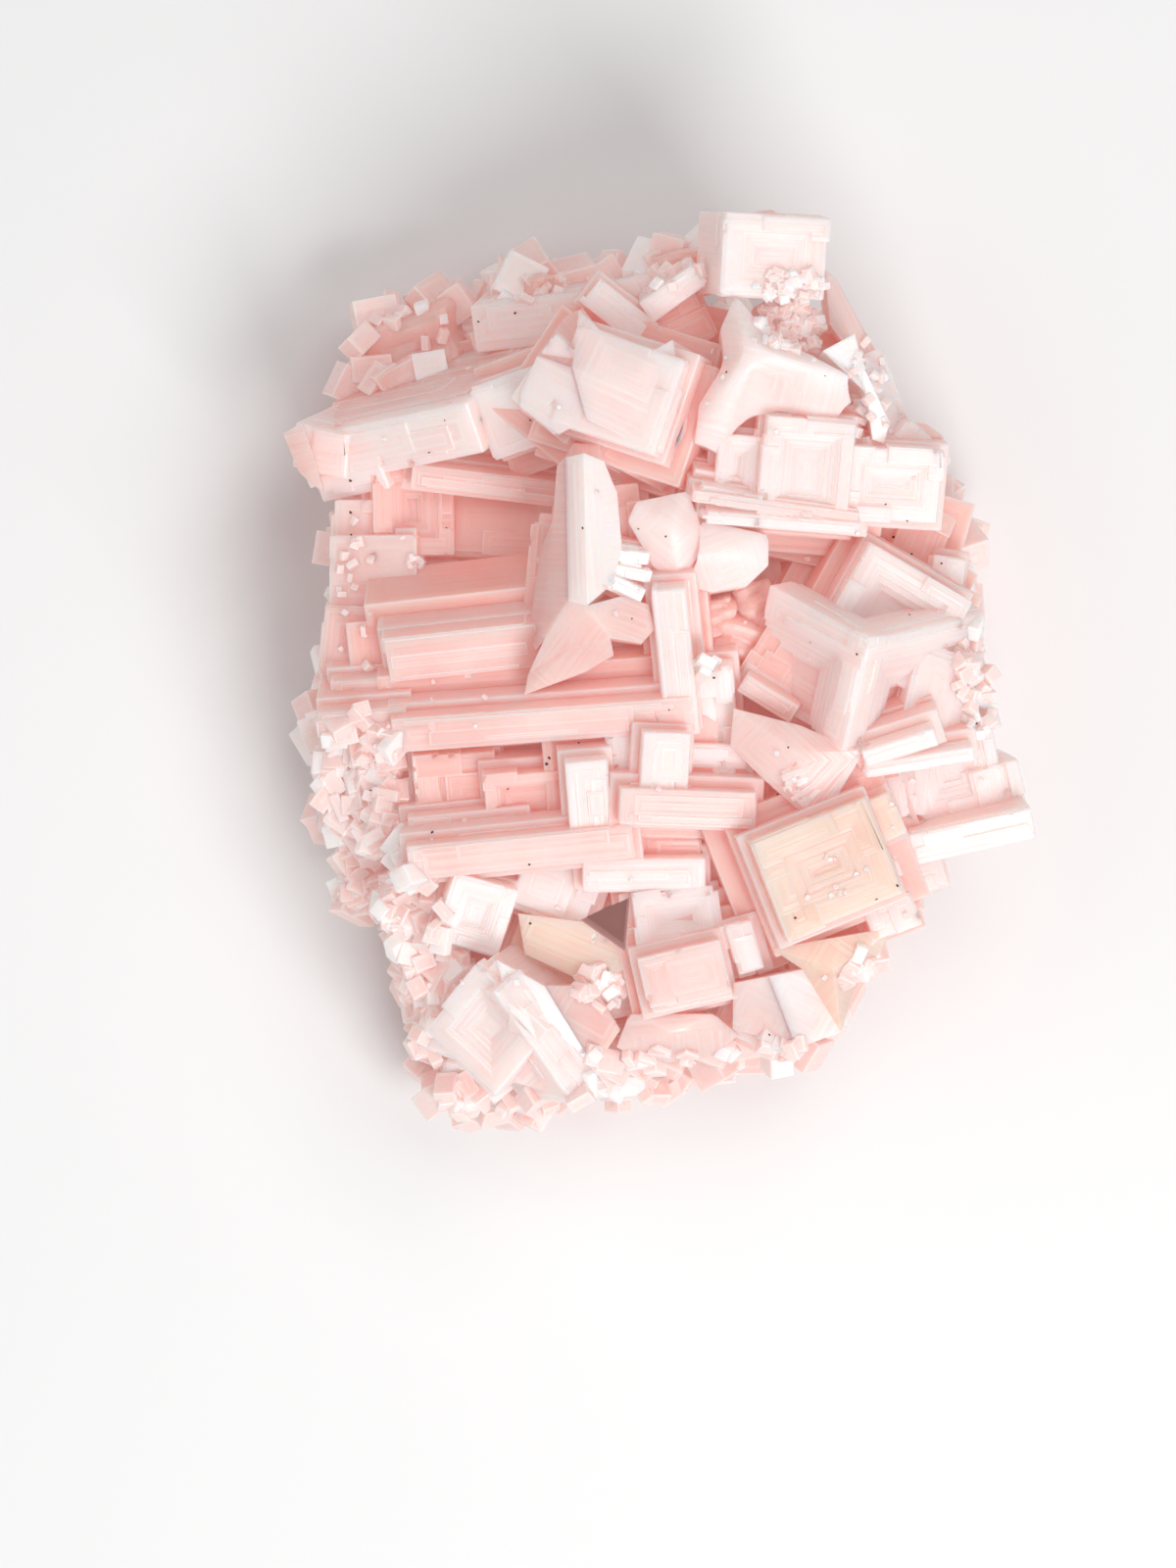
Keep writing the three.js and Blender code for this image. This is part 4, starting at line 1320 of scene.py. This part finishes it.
@dataclass(frozen=True)
class Salt:
    """One look of the salt.

    Args:
        name: The material's name.
        body: Colour of the salt.
        veil: Colour of its cloudier parts.
        edge_frost_and_glint: How white the edges are, 0 to 1: partly worn salt and partly a painted
            highlight that edges catch.
        clear: How much light goes straight through, 0 to 1.
        scatter: How far light spreads inside it, in millimetres.

    Its glow is painted light: a little emission in its body's colour, everywhere, that stands in for the
    light which spreads inside the salt and comes out again, and that lifts the dark gaps.
    """

    name: str
    body: Triple
    veil: Triple
    edge_frost_and_glint: float
    clear: float
    scatter: float = 7.0

    PAINTED_GLOW = 0.08
    ROUGHNESS = (0.285, 0.5)
    REFRACTION = 1.544
    SPREAD = (1.0, 0.55, 0.45)
    LINES_PER_MM = 1.4
    CLOUDS_PER_METRE = 110
    GRAINS_PER_METRE = 1500
    # The white along edges: partly worn salt, partly a painted highlight that edges catch.
    EDGE_COLOUR = (1, 0.955, 0.935, 1)
    DEPTH_COLOUR = (1.0, 0.72, 0.66, 1)
    DEPTH_DENSITY = 12

    def make(self) -> bpy.types.Material:
        """Returns the material."""
        material = bpy.data.materials.new(self.name)
        material.use_nodes = True
        tree = material.node_tree
        tree.nodes.clear()

        faces = {
            "Place": add_node(tree, "ShaderNodeUVMap", {}, uv_map="place").outputs["UV"],
            "Extent": add_node(tree, "ShaderNodeUVMap", {}, uv_map="extent").outputs["UV"],
            "Lines per mm": self.LINES_PER_MM,
        }
        lines = add_node(tree, "ShaderNodeGroup", faces, node_tree=GROUPS["growth_lines"]).outputs
        coords = add_node(tree, "ShaderNodeTexCoord", {}).outputs["Object"]
        cloud = self._noise(tree, coords, self.CLOUDS_PER_METRE, 5)
        grain = self._noise(tree, coords, self.GRAINS_PER_METRE, 3)

        shader = add_node(
            tree,
            "ShaderNodeBsdfPrincipled",
            {
                "Base Color": self._colour(tree, lines, cloud),
                "Roughness": add_range(tree, cloud, (0.35, 0.7), self.ROUGHNESS),
                "Normal": self._relief(tree, lines["Height"], grain),
                "IOR": self.REFRACTION,
                "Transmission Weight": self.clear,
                "Subsurface Weight": 1.0,
                "Subsurface Radius": self.SPREAD,
                "Subsurface Scale": self.scatter * MM,
                # Painted glow: emission in the body's colour that lifts the dark gaps.
                "Emission Color": (*self.body, 1),
                "Emission Strength": self.PAINTED_GLOW,
            },
        )
        inside = {"Color": self.DEPTH_COLOUR, "Density": self.DEPTH_DENSITY}
        depth = add_node(tree, "ShaderNodeVolumeAbsorption", inside)
        ends = {"Surface": shader.outputs["BSDF"], "Volume": depth.outputs["Volume"]}
        add_node(tree, "ShaderNodeOutputMaterial", ends)
        return material

    def _colour(
        self,
        tree: bpy.types.NodeTree,
        lines: bpy.types.NodeOutputs,
        cloud: bpy.types.NodeSocket,
    ) -> bpy.types.NodeSocket:
        """Adds the salt's colour: its body, the cloudier parts and the white along edges, which is partly
        wear and partly painted highlight.

        Args:
            tree: The material's nodes.
            lines: What the growth lines' group gives.
            cloud: How cloudy the salt is.

        Returns:
            The output that carries the colour.
        """
        veiled = {"Cloud": cloud, "Lines": lines["Lines"], "Tone": lines["Tone"]}
        veil_node = add_node(tree, "ShaderNodeGroup", veiled, node_tree=GROUPS["veil"])
        tints = {"Factor": veil_node.outputs["Veil"], "A": (*self.body, 1), "B": (*self.veil, 1)}
        tint = add_node(tree, "ShaderNodeMix", tints, data_type="RGBA").outputs["Result"]
        # Whiter towards the edges: partly wear, partly a painted highlight.
        whiteness = add_math(tree, "MULTIPLY", lines["Edge"], self.edge_frost_and_glint)
        shades = {"Factor": whiteness, "A": tint, "B": self.EDGE_COLOUR}
        return add_node(tree, "ShaderNodeMix", shades, data_type="RGBA").outputs["Result"]

    @staticmethod
    def _relief(
        tree: bpy.types.NodeTree, height: bpy.types.NodeSocket, grain: bpy.types.NodeSocket
    ) -> bpy.types.NodeSocket:
        """Adds the shallow relief of the growth lines, with a finer grain on it.

        Args:
            tree: The material's nodes.
            height: Height of the growth lines.
            grain: Height of the grain.

        Returns:
            The output that carries the bent normal.
        """
        ridges = {"Strength": 0.6, "Distance": 0.2 * MM, "Height": height}
        relief = add_node(tree, "ShaderNodeBump", ridges).outputs["Normal"]
        bite = {"Strength": 0.12, "Distance": 0.1 * MM, "Height": grain, "Normal": relief}
        return add_node(tree, "ShaderNodeBump", bite).outputs["Normal"]

    @staticmethod
    def _noise(
        tree: bpy.types.NodeTree, coords: bpy.types.NodeSocket, scale: float, detail: float
    ) -> bpy.types.NodeSocket:
        """Adds a noise texture on object coordinates.

        Args:
            tree: The material's nodes.
            coords: The object coordinates.
            scale: Cells to the metre.
            detail: Octaves.

        Returns:
            The output that carries the noise.
        """
        cells = {"Scale": scale, "Detail": detail, "Vector": coords}
        return add_node(tree, "ShaderNodeTexNoise", cells).outputs["Fac"]


def growth_lines() -> bpy.types.NodeTree:
    """Returns the group that draws the lines which growth leaves parallel to the edges of a face.

    Returns:
        A group with the inputs Place, Extent and Lines per mm, and the outputs Height, Lines, Tone and Edge.
    """
    tree = add_group(
        "growth_lines",
        {"Place": "Vector", "Extent": "Vector", "Lines per mm": "Float"},
        ("Height", "Lines", "Tone", "Edge"),
    )
    entry = add_node(tree, "NodeGroupInput", {}).outputs

    # How far each point lies inside the nearest edge of its face.
    size = add_node(tree, "ShaderNodeVectorMath", {0: entry["Place"]}, operation="ABSOLUTE")
    rows = {0: entry["Extent"], 1: size.outputs["Vector"]}
    inset = add_node(tree, "ShaderNodeVectorMath", rows, operation="SUBTRACT")
    axes = add_node(tree, "ShaderNodeSeparateXYZ", {"Vector": inset.outputs["Vector"]}).outputs
    nearest = add_math(tree, "MINIMUM", axes["X"], axes["Y"])

    # Each size of face has lines of its own.
    sizes = add_node(tree, "ShaderNodeSeparateXYZ", {"Vector": entry["Extent"]}).outputs
    own = add_math(tree, "MULTIPLY_ADD", sizes["X"], 7.3, sizes["Y"])
    along = add_math(tree, "MULTIPLY", nearest, entry["Lines per mm"])
    shifted = add_math(tree, "ADD", along, own)
    waves = {"W": shifted, "Scale": 1.0, "Detail": 3, "Roughness": 0.6}
    height = add_node(tree, "ShaderNodeTexNoise", waves, noise_dimensions="1D").outputs["Fac"]

    # One tone for each size of face.
    steps = {0: entry["Extent"], 1: (EXTENT_STEP, EXTENT_STEP, EXTENT_STEP)}
    whole = add_node(tree, "ShaderNodeVectorMath", steps, operation="SNAP").outputs["Vector"]
    tone = add_node(tree, "ShaderNodeTexWhiteNoise", {"Vector": whole}, noise_dimensions="2D")

    given = {
        "Height": height,
        "Lines": add_range(tree, height, (0.42, 0.68)),
        "Tone": tone.outputs["Value"],
        "Edge": add_range(tree, nearest, (0.3, 0.05)),
    }
    add_node(tree, "NodeGroupOutput", given)
    return tree


def veil() -> bpy.types.NodeTree:
    """Returns the group that says how cloudy the salt is at each point.

    Returns:
        A group with the inputs Cloud, Lines and Tone, and the output Veil, 0 to 1.
    """
    tree = add_group("veil", {"Cloud": "Float", "Lines": "Float", "Tone": "Float"}, ("Veil",))
    entry = add_node(tree, "NodeGroupInput", {}).outputs
    drift = add_range(tree, entry["Cloud"], (0.36, 0.68), (0.0, 0.55))
    fade = add_range(tree, entry["Cloud"], (0.4, 0.62), (0.5, 0.12))
    stripes = add_math(tree, "MULTIPLY_ADD", entry["Lines"], fade, drift)
    share = {0: entry["Tone"], 1: 0.3, 2: stripes}
    own = add_node(tree, "ShaderNodeMath", share, operation="MULTIPLY_ADD", use_clamp=True)
    add_node(tree, "NodeGroupOutput", {"Veil": own.outputs[0]})
    return tree


GROUPS: dict[str, bpy.types.NodeTree] = {}
MATERIALS: dict[Finish, bpy.types.Material] = {}

# The rose and blush salts also paint half shade and deep shade, and the frosted salt also paints glints.
SALTS = {
    Finish.MILKY: Salt("milky_salt", (0.985, 0.71, 0.68), (0.99, 0.89, 0.87), 0.55, 0.18),
    Finish.ROSE: Salt("rose_half_shade_salt", (0.98, 0.56, 0.52), (0.985, 0.77, 0.735), 0.55, 0.2),
    Finish.BLUSH: Salt("blush_shade_salt", (0.98, 0.48, 0.43), (0.98, 0.66, 0.61), 0.45, 0.2),
    Finish.HONEY: Salt("honey_salt", (0.98, 0.62, 0.51), (0.985, 0.785, 0.69), 0.5, 0.25),
    Finish.FROST: Salt("frosted_glint_salt", (0.99, 0.84, 0.81), (0.995, 0.96, 0.95), 0.8, 0.15, 2.5),
    Finish.GRAIN: Salt("grain_salt", (0.985, 0.66, 0.62), (0.99, 0.86, 0.84), 0.45, 0.2, 2.0),
}


@dataclass
class Cluster:
    """The whole cluster: its crystals joined into one skin, cut flat at the back.

    Args:
        gap_at: Middle of the three-sided gap, in millimetres.
        gap_radius: From its middle to its corners, in millimetres.
        gap_roll: Its turn, in degrees.
    """

    gap_at: tuple[float, float] = (-6.2, -36.4)
    gap_radius: float = 4.6
    gap_roll: float = 205

    BURIED = 0.4
    SHARP_ANGLE = 28

    def build(self, grower: Grower) -> bpy.types.Object:
        """Grows every crystal and joins them.

        Args:
            grower: Makes and joins the crystals.

        Returns:
            The cluster, in metres, in the frame of its solid.
        """
        crystals = [*CORE, *UPPER_LEFT, *LEFT_FRAMES, *UPPER_RIGHT, *RIGHT, *LOWER]
        crystals += [*SlabRibs().crystals(), *Flanks().crystals()]
        for index, crystal in enumerate(crystals):
            grower.grow(crystal, seed=index)
        for shard in SHARDS:
            grower.grow_shard(shard)
        log.info("%d crystals, %d parts", len(crystals), len(grower.parts))
        self._drop_buried(grower, crystals)
        body = grower.join(grower.parts, [*grower.nicks, grower.below(), self._shaft(grower)])
        body.name = "halite_crystals"
        body.data.transform(Matrix.Scale(MM, 4) @ Matrix.Translation(-CENTRE))
        self._keep_largest(body)
        make_active(body)
        bpy.ops.object.shade_smooth_by_angle(angle=math.radians(self.SHARP_ANGLE))
        log.info("%s: %d faces", body.name, len(body.data.polygons))
        return body

    def _drop_buried(self, grower: Grower, crystals: list[Crystal]) -> None:
        """Drops the small cutters that would leave a hole in a neighbour's face.

        Args:
            grower: Holds the cutters.
            crystals: The crystals.
        """
        inward = [(crystal.placement().inverted(), crystal.half) for crystal in crystals]
        kept = []
        for nick in grower.nicks:
            centre = sum((vertex.co for vertex in nick.data.vertices), Vector()) / len(nick.data.vertices)
            places = ((matrix @ centre, half) for matrix, half in inward)
            if any(all(abs(c) < h - self.BURIED for c, h in zip(place, half)) for place, half in places):
                bpy.data.objects.remove(nick)
            else:
                kept.append(nick)
        grower.nicks = kept

    def _shaft(self, grower: Grower) -> bpy.types.Object:
        """Returns the three-sided shaft of the gap that runs right through."""
        deselect_all()
        bpy.ops.mesh.primitive_cylinder_add(vertices=3, radius=1, depth=2)
        mesh = grower.stock.take("stock_shaft")
        turned = Matrix.Rotation(math.radians(self.gap_roll), 4, "Z")
        where = Matrix.Translation((*self.gap_at, 0)) @ turned
        return grower.part(mesh, Vector((self.gap_radius, self.gap_radius, BEYOND)), where, Finish.MILKY)

    @staticmethod
    def _keep_largest(body: bpy.types.Object) -> None:
        """Removes the crumbs that touch nothing.

        Args:
            body: The joined cluster.
        """
        make_active(body)
        bpy.ops.object.mode_set(mode="EDIT")
        bpy.ops.mesh.select_all(action="DESELECT")
        bpy.ops.object.mode_set(mode="OBJECT")
        tallest = max(body.data.vertices, key=lambda vertex: vertex.co.z)
        tallest.select = True
        bpy.ops.object.mode_set(mode="EDIT")
        bpy.ops.mesh.select_linked()
        bpy.ops.mesh.select_all(action="INVERT")
        bpy.ops.mesh.delete(type="VERT")
        bpy.ops.object.mode_set(mode="OBJECT")


@dataclass(frozen=True)
class Patch:
    """A place where small crystals crowd.

    Args:
        at: Its middle, in millimetres.
        reach: How far it goes along X and along Y, in millimetres.
        count: Crystals in it.
        side: Least and greatest width of a crystal, in millimetres.
        from_side: Whether they sit on the steep outer wall and not on the top.
    """

    at: tuple[float, float]
    reach: tuple[float, float]
    count: int
    side: tuple[float, float]
    from_side: bool = False


PATCHES = (
    Patch((-43, -16), (6, 11), 90, (1.4, 4.4)),
    Patch((-42, -29), (6, 8), 60, (1.6, 4.6)),
    Patch((-35, -35), (5, 6), 50, (1.2, 4.0)),
    Patch((-33, -44), (4, 6), 30, (1.4, 4.2)),
    Patch((-34, -54), (2, 5), 12, (1.4, 3.6)),
    Patch((-25, -63), (8, 2), 16, (1.6, 4.4)),
    Patch((-8, -46), (4, 3), 26, (0.9, 2.8)),
    Patch((-2, -56), (9, 2), 14, (1.2, 3.2)),
    Patch((-4, -60), (8, 4), 22, (1.6, 4.2)),
    Patch((15, -55), (8, 1.5), 10, (1.2, 3.0)),
    Patch((30, -44), (3, 4), 14, (1.2, 3.0)),
    Patch((-38, 53), (8, 3), 9, (1.0, 2.4)),
    Patch((-18, 58), (7, 3), 10, (1.0, 2.4)),
    Patch((2, 60), (6, 4), 12, (1.0, 2.4)),
    Patch((19.5, 50), (5, 4), 90, (0.7, 2.0)),
    Patch((31, 41), (3, 8), 36, (0.6, 1.8)),
    Patch((47, -1), (3, 9), 44, (0.9, 2.8)),
    Patch((-43, 12), (4, 14), 16, (0.7, 1.8)),
    Patch((0, 0), (50, 62), 50, (0.4, 0.9)),
    Patch((19.5, 55.8), (5, 2.2), 50, (0.6, 1.8)),
    Patch((-35.3, 17), (1.2, 1.6), 12, (0.5, 1.2)),
    Patch((25, -29), (6, 4), 10, (0.4, 0.9)),
    Patch((0, 0), (70, 80), 260, (2.5, 7.0), True),
)


@dataclass
class Sugar:
    """The small crystals that grow over the large ones.

    Args:
        seed: Seed of the random draws.
        wear: Width of a worn edge, in millimetres.
        sunk: How far a crystal's middle stands off the face below it, as a share of half its height.
    """

    seed: int = 7
    wear: float = 0.12
    sunk: float = 0.1

    LOWEST = 0.004
    TILT = 0.35
    SPIN = 3.2
    FINISHES = (Finish.GRAIN, Finish.GRAIN, Finish.GRAIN, Finish.FROST)
    SIDE_HEIGHT = (2, 24)
    SIDE_TARGET = (20, 25)

    def build(self, grower: Grower, ground: bpy.types.Object) -> bpy.types.Object:
        """Scatters the small crystals and joins them.

        Args:
            grower: Makes and joins them.
            ground: The cluster, in metres.

        Returns:
            The small crystals as one piece, in metres.
        """
        draws = random.Random(self.seed)
        tree = BVHTree.FromObject(ground, bpy.context.evaluated_depsgraph_get())
        parts = []
        for patch in PATCHES:
            for _ in range(patch.count):
                start, way = self._ray(patch, draws)
                hit, normal, _, _ = tree.ray_cast((start - CENTRE) * MM, way)
                if hit is None or hit.z < self.LOWEST:
                    continue
                half = Vector([draws.uniform(*patch.side) / 2 for _ in range(3)])
                lean = normal.to_track_quat("Z", "Y").to_matrix().to_4x4()
                turns = [draws.gauss(0, self.TILT), draws.gauss(0, self.TILT), draws.uniform(0, self.SPIN)]
                spin = Euler(turns).to_matrix().to_4x4()
                spot = hit / MM + CENTRE + normal * half.z * self.sunk
                finish = draws.choice(self.FINISHES)
                place = Matrix.Translation(spot) @ lean @ spin
                parts.append(grower.part(grower.stock.bar, half, place, finish, self.wear))
        piece = grower.join(parts, [grower.below()])
        piece.name = "sugar_crystals"
        piece.data.transform(Matrix.Scale(MM, 4) @ Matrix.Translation(-CENTRE))
        log.info("%s: %d crystals, %d faces", piece.name, len(parts), len(piece.data.polygons))
        return piece

    def _ray(self, patch: Patch, draws: random.Random) -> tuple[Vector, Vector]:
        """Returns where a small crystal is dropped from, and in which direction.

        Args:
            patch: The patch it belongs to.
            draws: The random draws.
        """
        bearing = draws.uniform(0, 2 * math.pi)
        if patch.from_side:
            height = draws.uniform(*self.SIDE_HEIGHT)
            start = Vector((patch.reach[0] * math.cos(bearing), patch.reach[1] * math.sin(bearing), height))
            target = Vector([draws.uniform(-reach, reach) for reach in self.SIDE_TARGET] + [height])
            return start, (target - start).normalized()
        out = math.sqrt(draws.random())
        x = patch.at[0] + patch.reach[0] * out * math.cos(bearing)
        y = patch.at[1] + patch.reach[1] * out * math.sin(bearing)
        return Vector((x, y, DROP_HEIGHT)), Vector((0, 0, -1))


@dataclass
class Specks:
    """The dark grains that lie on the salt.

    Args:
        seed: Seed of the random draws.
        count: How many grains there are.
        size: Least and greatest half width of a grain, in millimetres.
    """

    seed: int = 12
    count: int = 46
    size: tuple[float, float] = (0.07, 0.2)

    LOWEST = 0.01
    REACH = ((-48, 48), (-58, 62))
    ROUGHNESS = 0.8
    MOTTLES_PER_METRE = 900
    COLOURS = ((0.03, 0.02, 0.02, 1), (0.16, 0.09, 0.07, 1))

    def build(self, grower: Grower, ground: bpy.types.Object) -> bpy.types.Object:
        """Scatters the grains.

        Args:
            grower: Makes and joins them.
            ground: The cluster, in metres.

        Returns:
            The grains as one piece, in metres.
        """
        draws = random.Random(self.seed)
        tree = BVHTree.FromObject(ground, bpy.context.evaluated_depsgraph_get())
        parts = []
        while len(parts) < self.count:
            start = Vector([draws.uniform(*reach) for reach in self.REACH] + [DROP_HEIGHT])
            hit, normal, _, _ = tree.ray_cast((start - CENTRE) * MM, Vector((0, 0, -1)))
            if hit is None or hit.z < self.LOWEST:
                continue
            half = Vector([draws.uniform(*self.size) for _ in range(3)])
            turn = Euler([draws.uniform(0, 3) for _ in range(3)]).to_matrix().to_4x4()
            place = Matrix.Translation(hit / MM + CENTRE) @ turn
            parts.append(grower.part(draws.choice(grower.stock.chipped), half, place, Finish.MILKY))
        piece = grower.join(parts, [])
        piece.name = "dark_grains"
        piece.data.transform(Matrix.Scale(MM, 4) @ Matrix.Translation(-CENTRE))
        piece.data.materials.clear()
        piece.data.materials.append(self._material())
        slots = np.zeros(len(piece.data.polygons), dtype=np.int32)
        piece.data.polygons.foreach_set("material_index", slots)
        return piece

    def _material(self) -> bpy.types.Material:
        """Returns the grains' material."""
        material = bpy.data.materials.new("dark_grain")
        material.use_nodes = True
        tree = material.node_tree
        place = add_node(tree, "ShaderNodeTexCoord", {}).outputs["Object"]
        mottles = add_node(tree, "ShaderNodeTexNoise", {"Vector": place, "Scale": self.MOTTLES_PER_METRE})
        shades = {"Factor": mottles.outputs["Fac"], "A": self.COLOURS[0], "B": self.COLOURS[1]}
        colour = add_node(tree, "ShaderNodeMix", shades, data_type="RGBA")
        shader = tree.nodes["Principled BSDF"]
        shader.inputs["Roughness"].default_value = self.ROUGHNESS
        tree.links.new(colour.outputs["Result"], shader.inputs["Base Color"])
        return material


@dataclass
class Studio:
    """The pale floor, the soft lights and the camera that looks straight down.

    Args:
        height: The camera's height, in metres.
        aim: The point that it looks down on, in the millimetres that crystals are placed in.
        lens: Its focal length, in millimetres.
    """

    height: float = 0.85
    aim: tuple[float, float] = (-9.714, -16.0)
    lens: float = 126.0

    LAMPS = (
        ("key", (0.30, -0.50, 0.75), 0.45, 6.3),
        ("fill", (-0.55, 0.10, 0.60), 0.8, 1.5),
        ("top", (0.25, 0.35, 0.95), 0.5, 2.4),
    )
    SKY = 0.3
    FLOOR_SIDE = 4
    FLOOR_COLOUR = (0.82, 0.82, 0.82, 1)
    FLOOR_ROUGHNESS = 0.9

    def build(self) -> None:
        """Builds the floor, the lights and the camera."""
        bpy.context.scene.view_settings.view_transform = "Standard"
        self._floor()
        for lamp in self.LAMPS:
            self._light(*lamp)
        world = bpy.data.worlds.new("studio")
        bpy.context.scene.world = world
        world.use_nodes = True
        background = world.node_tree.nodes["Background"]
        background.inputs["Color"].default_value = (1, 1, 1, 1)
        background.inputs["Strength"].default_value = self.SKY
        self._camera()

    def _floor(self) -> None:
        """Builds the floor."""
        deselect_all()
        bpy.ops.mesh.primitive_plane_add(size=self.FLOOR_SIDE)
        floor = bpy.context.object
        floor.name = "floor"
        material = bpy.data.materials.new("pale_floor")
        material.use_nodes = True
        shader = material.node_tree.nodes["Principled BSDF"]
        shader.inputs["Base Color"].default_value = self.FLOOR_COLOUR
        shader.inputs["Roughness"].default_value = self.FLOOR_ROUGHNESS
        floor.data.materials.append(material)

    def _light(self, name: str, at: Triple, size: float, power: float) -> None:
        """Adds one soft light that faces the specimen.

        Args:
            name: The light's name.
            at: Its place, in metres.
            size: Its width, in metres.
            power: Its power, in watts.
        """
        lamp = bpy.data.lights.new(name, "AREA")
        lamp.size = size
        lamp.energy = power
        piece = bpy.data.objects.new(name, lamp)
        piece.location = at
        piece.rotation_euler = (-Vector(at)).to_track_quat("-Z", "Y").to_euler()
        bpy.context.scene.collection.objects.link(piece)

    def _camera(self) -> None:
        """Adds the camera."""
        camera = bpy.data.cameras.new("camera")
        camera.lens = self.lens
        piece = bpy.data.objects.new("camera", camera)
        piece.location = ((self.aim[0] - CENTRE.x) * MM, (self.aim[1] - CENTRE.y) * MM, self.height)
        bpy.context.scene.collection.objects.link(piece)
        bpy.context.scene.camera = piece


def main() -> None:
    """Builds the cluster and its studio."""
    logging.basicConfig(level=logging.INFO, format="%(name)s: %(message)s")
    Studio().build()
    GROUPS["growth_lines"] = growth_lines()
    GROUPS["veil"] = veil()
    for finish, salt in SALTS.items():
        MATERIALS[finish] = salt.make()
    grower = Grower(Stock())
    cluster = Cluster().build(grower)
    sugar = Sugar().build(grower, cluster)
    grains = Specks().build(grower, cluster)
    for piece in (cluster, sugar, grains):
        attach(piece, "root")
    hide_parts("halite_cluster")


if __name__ == "__main__":
    main()
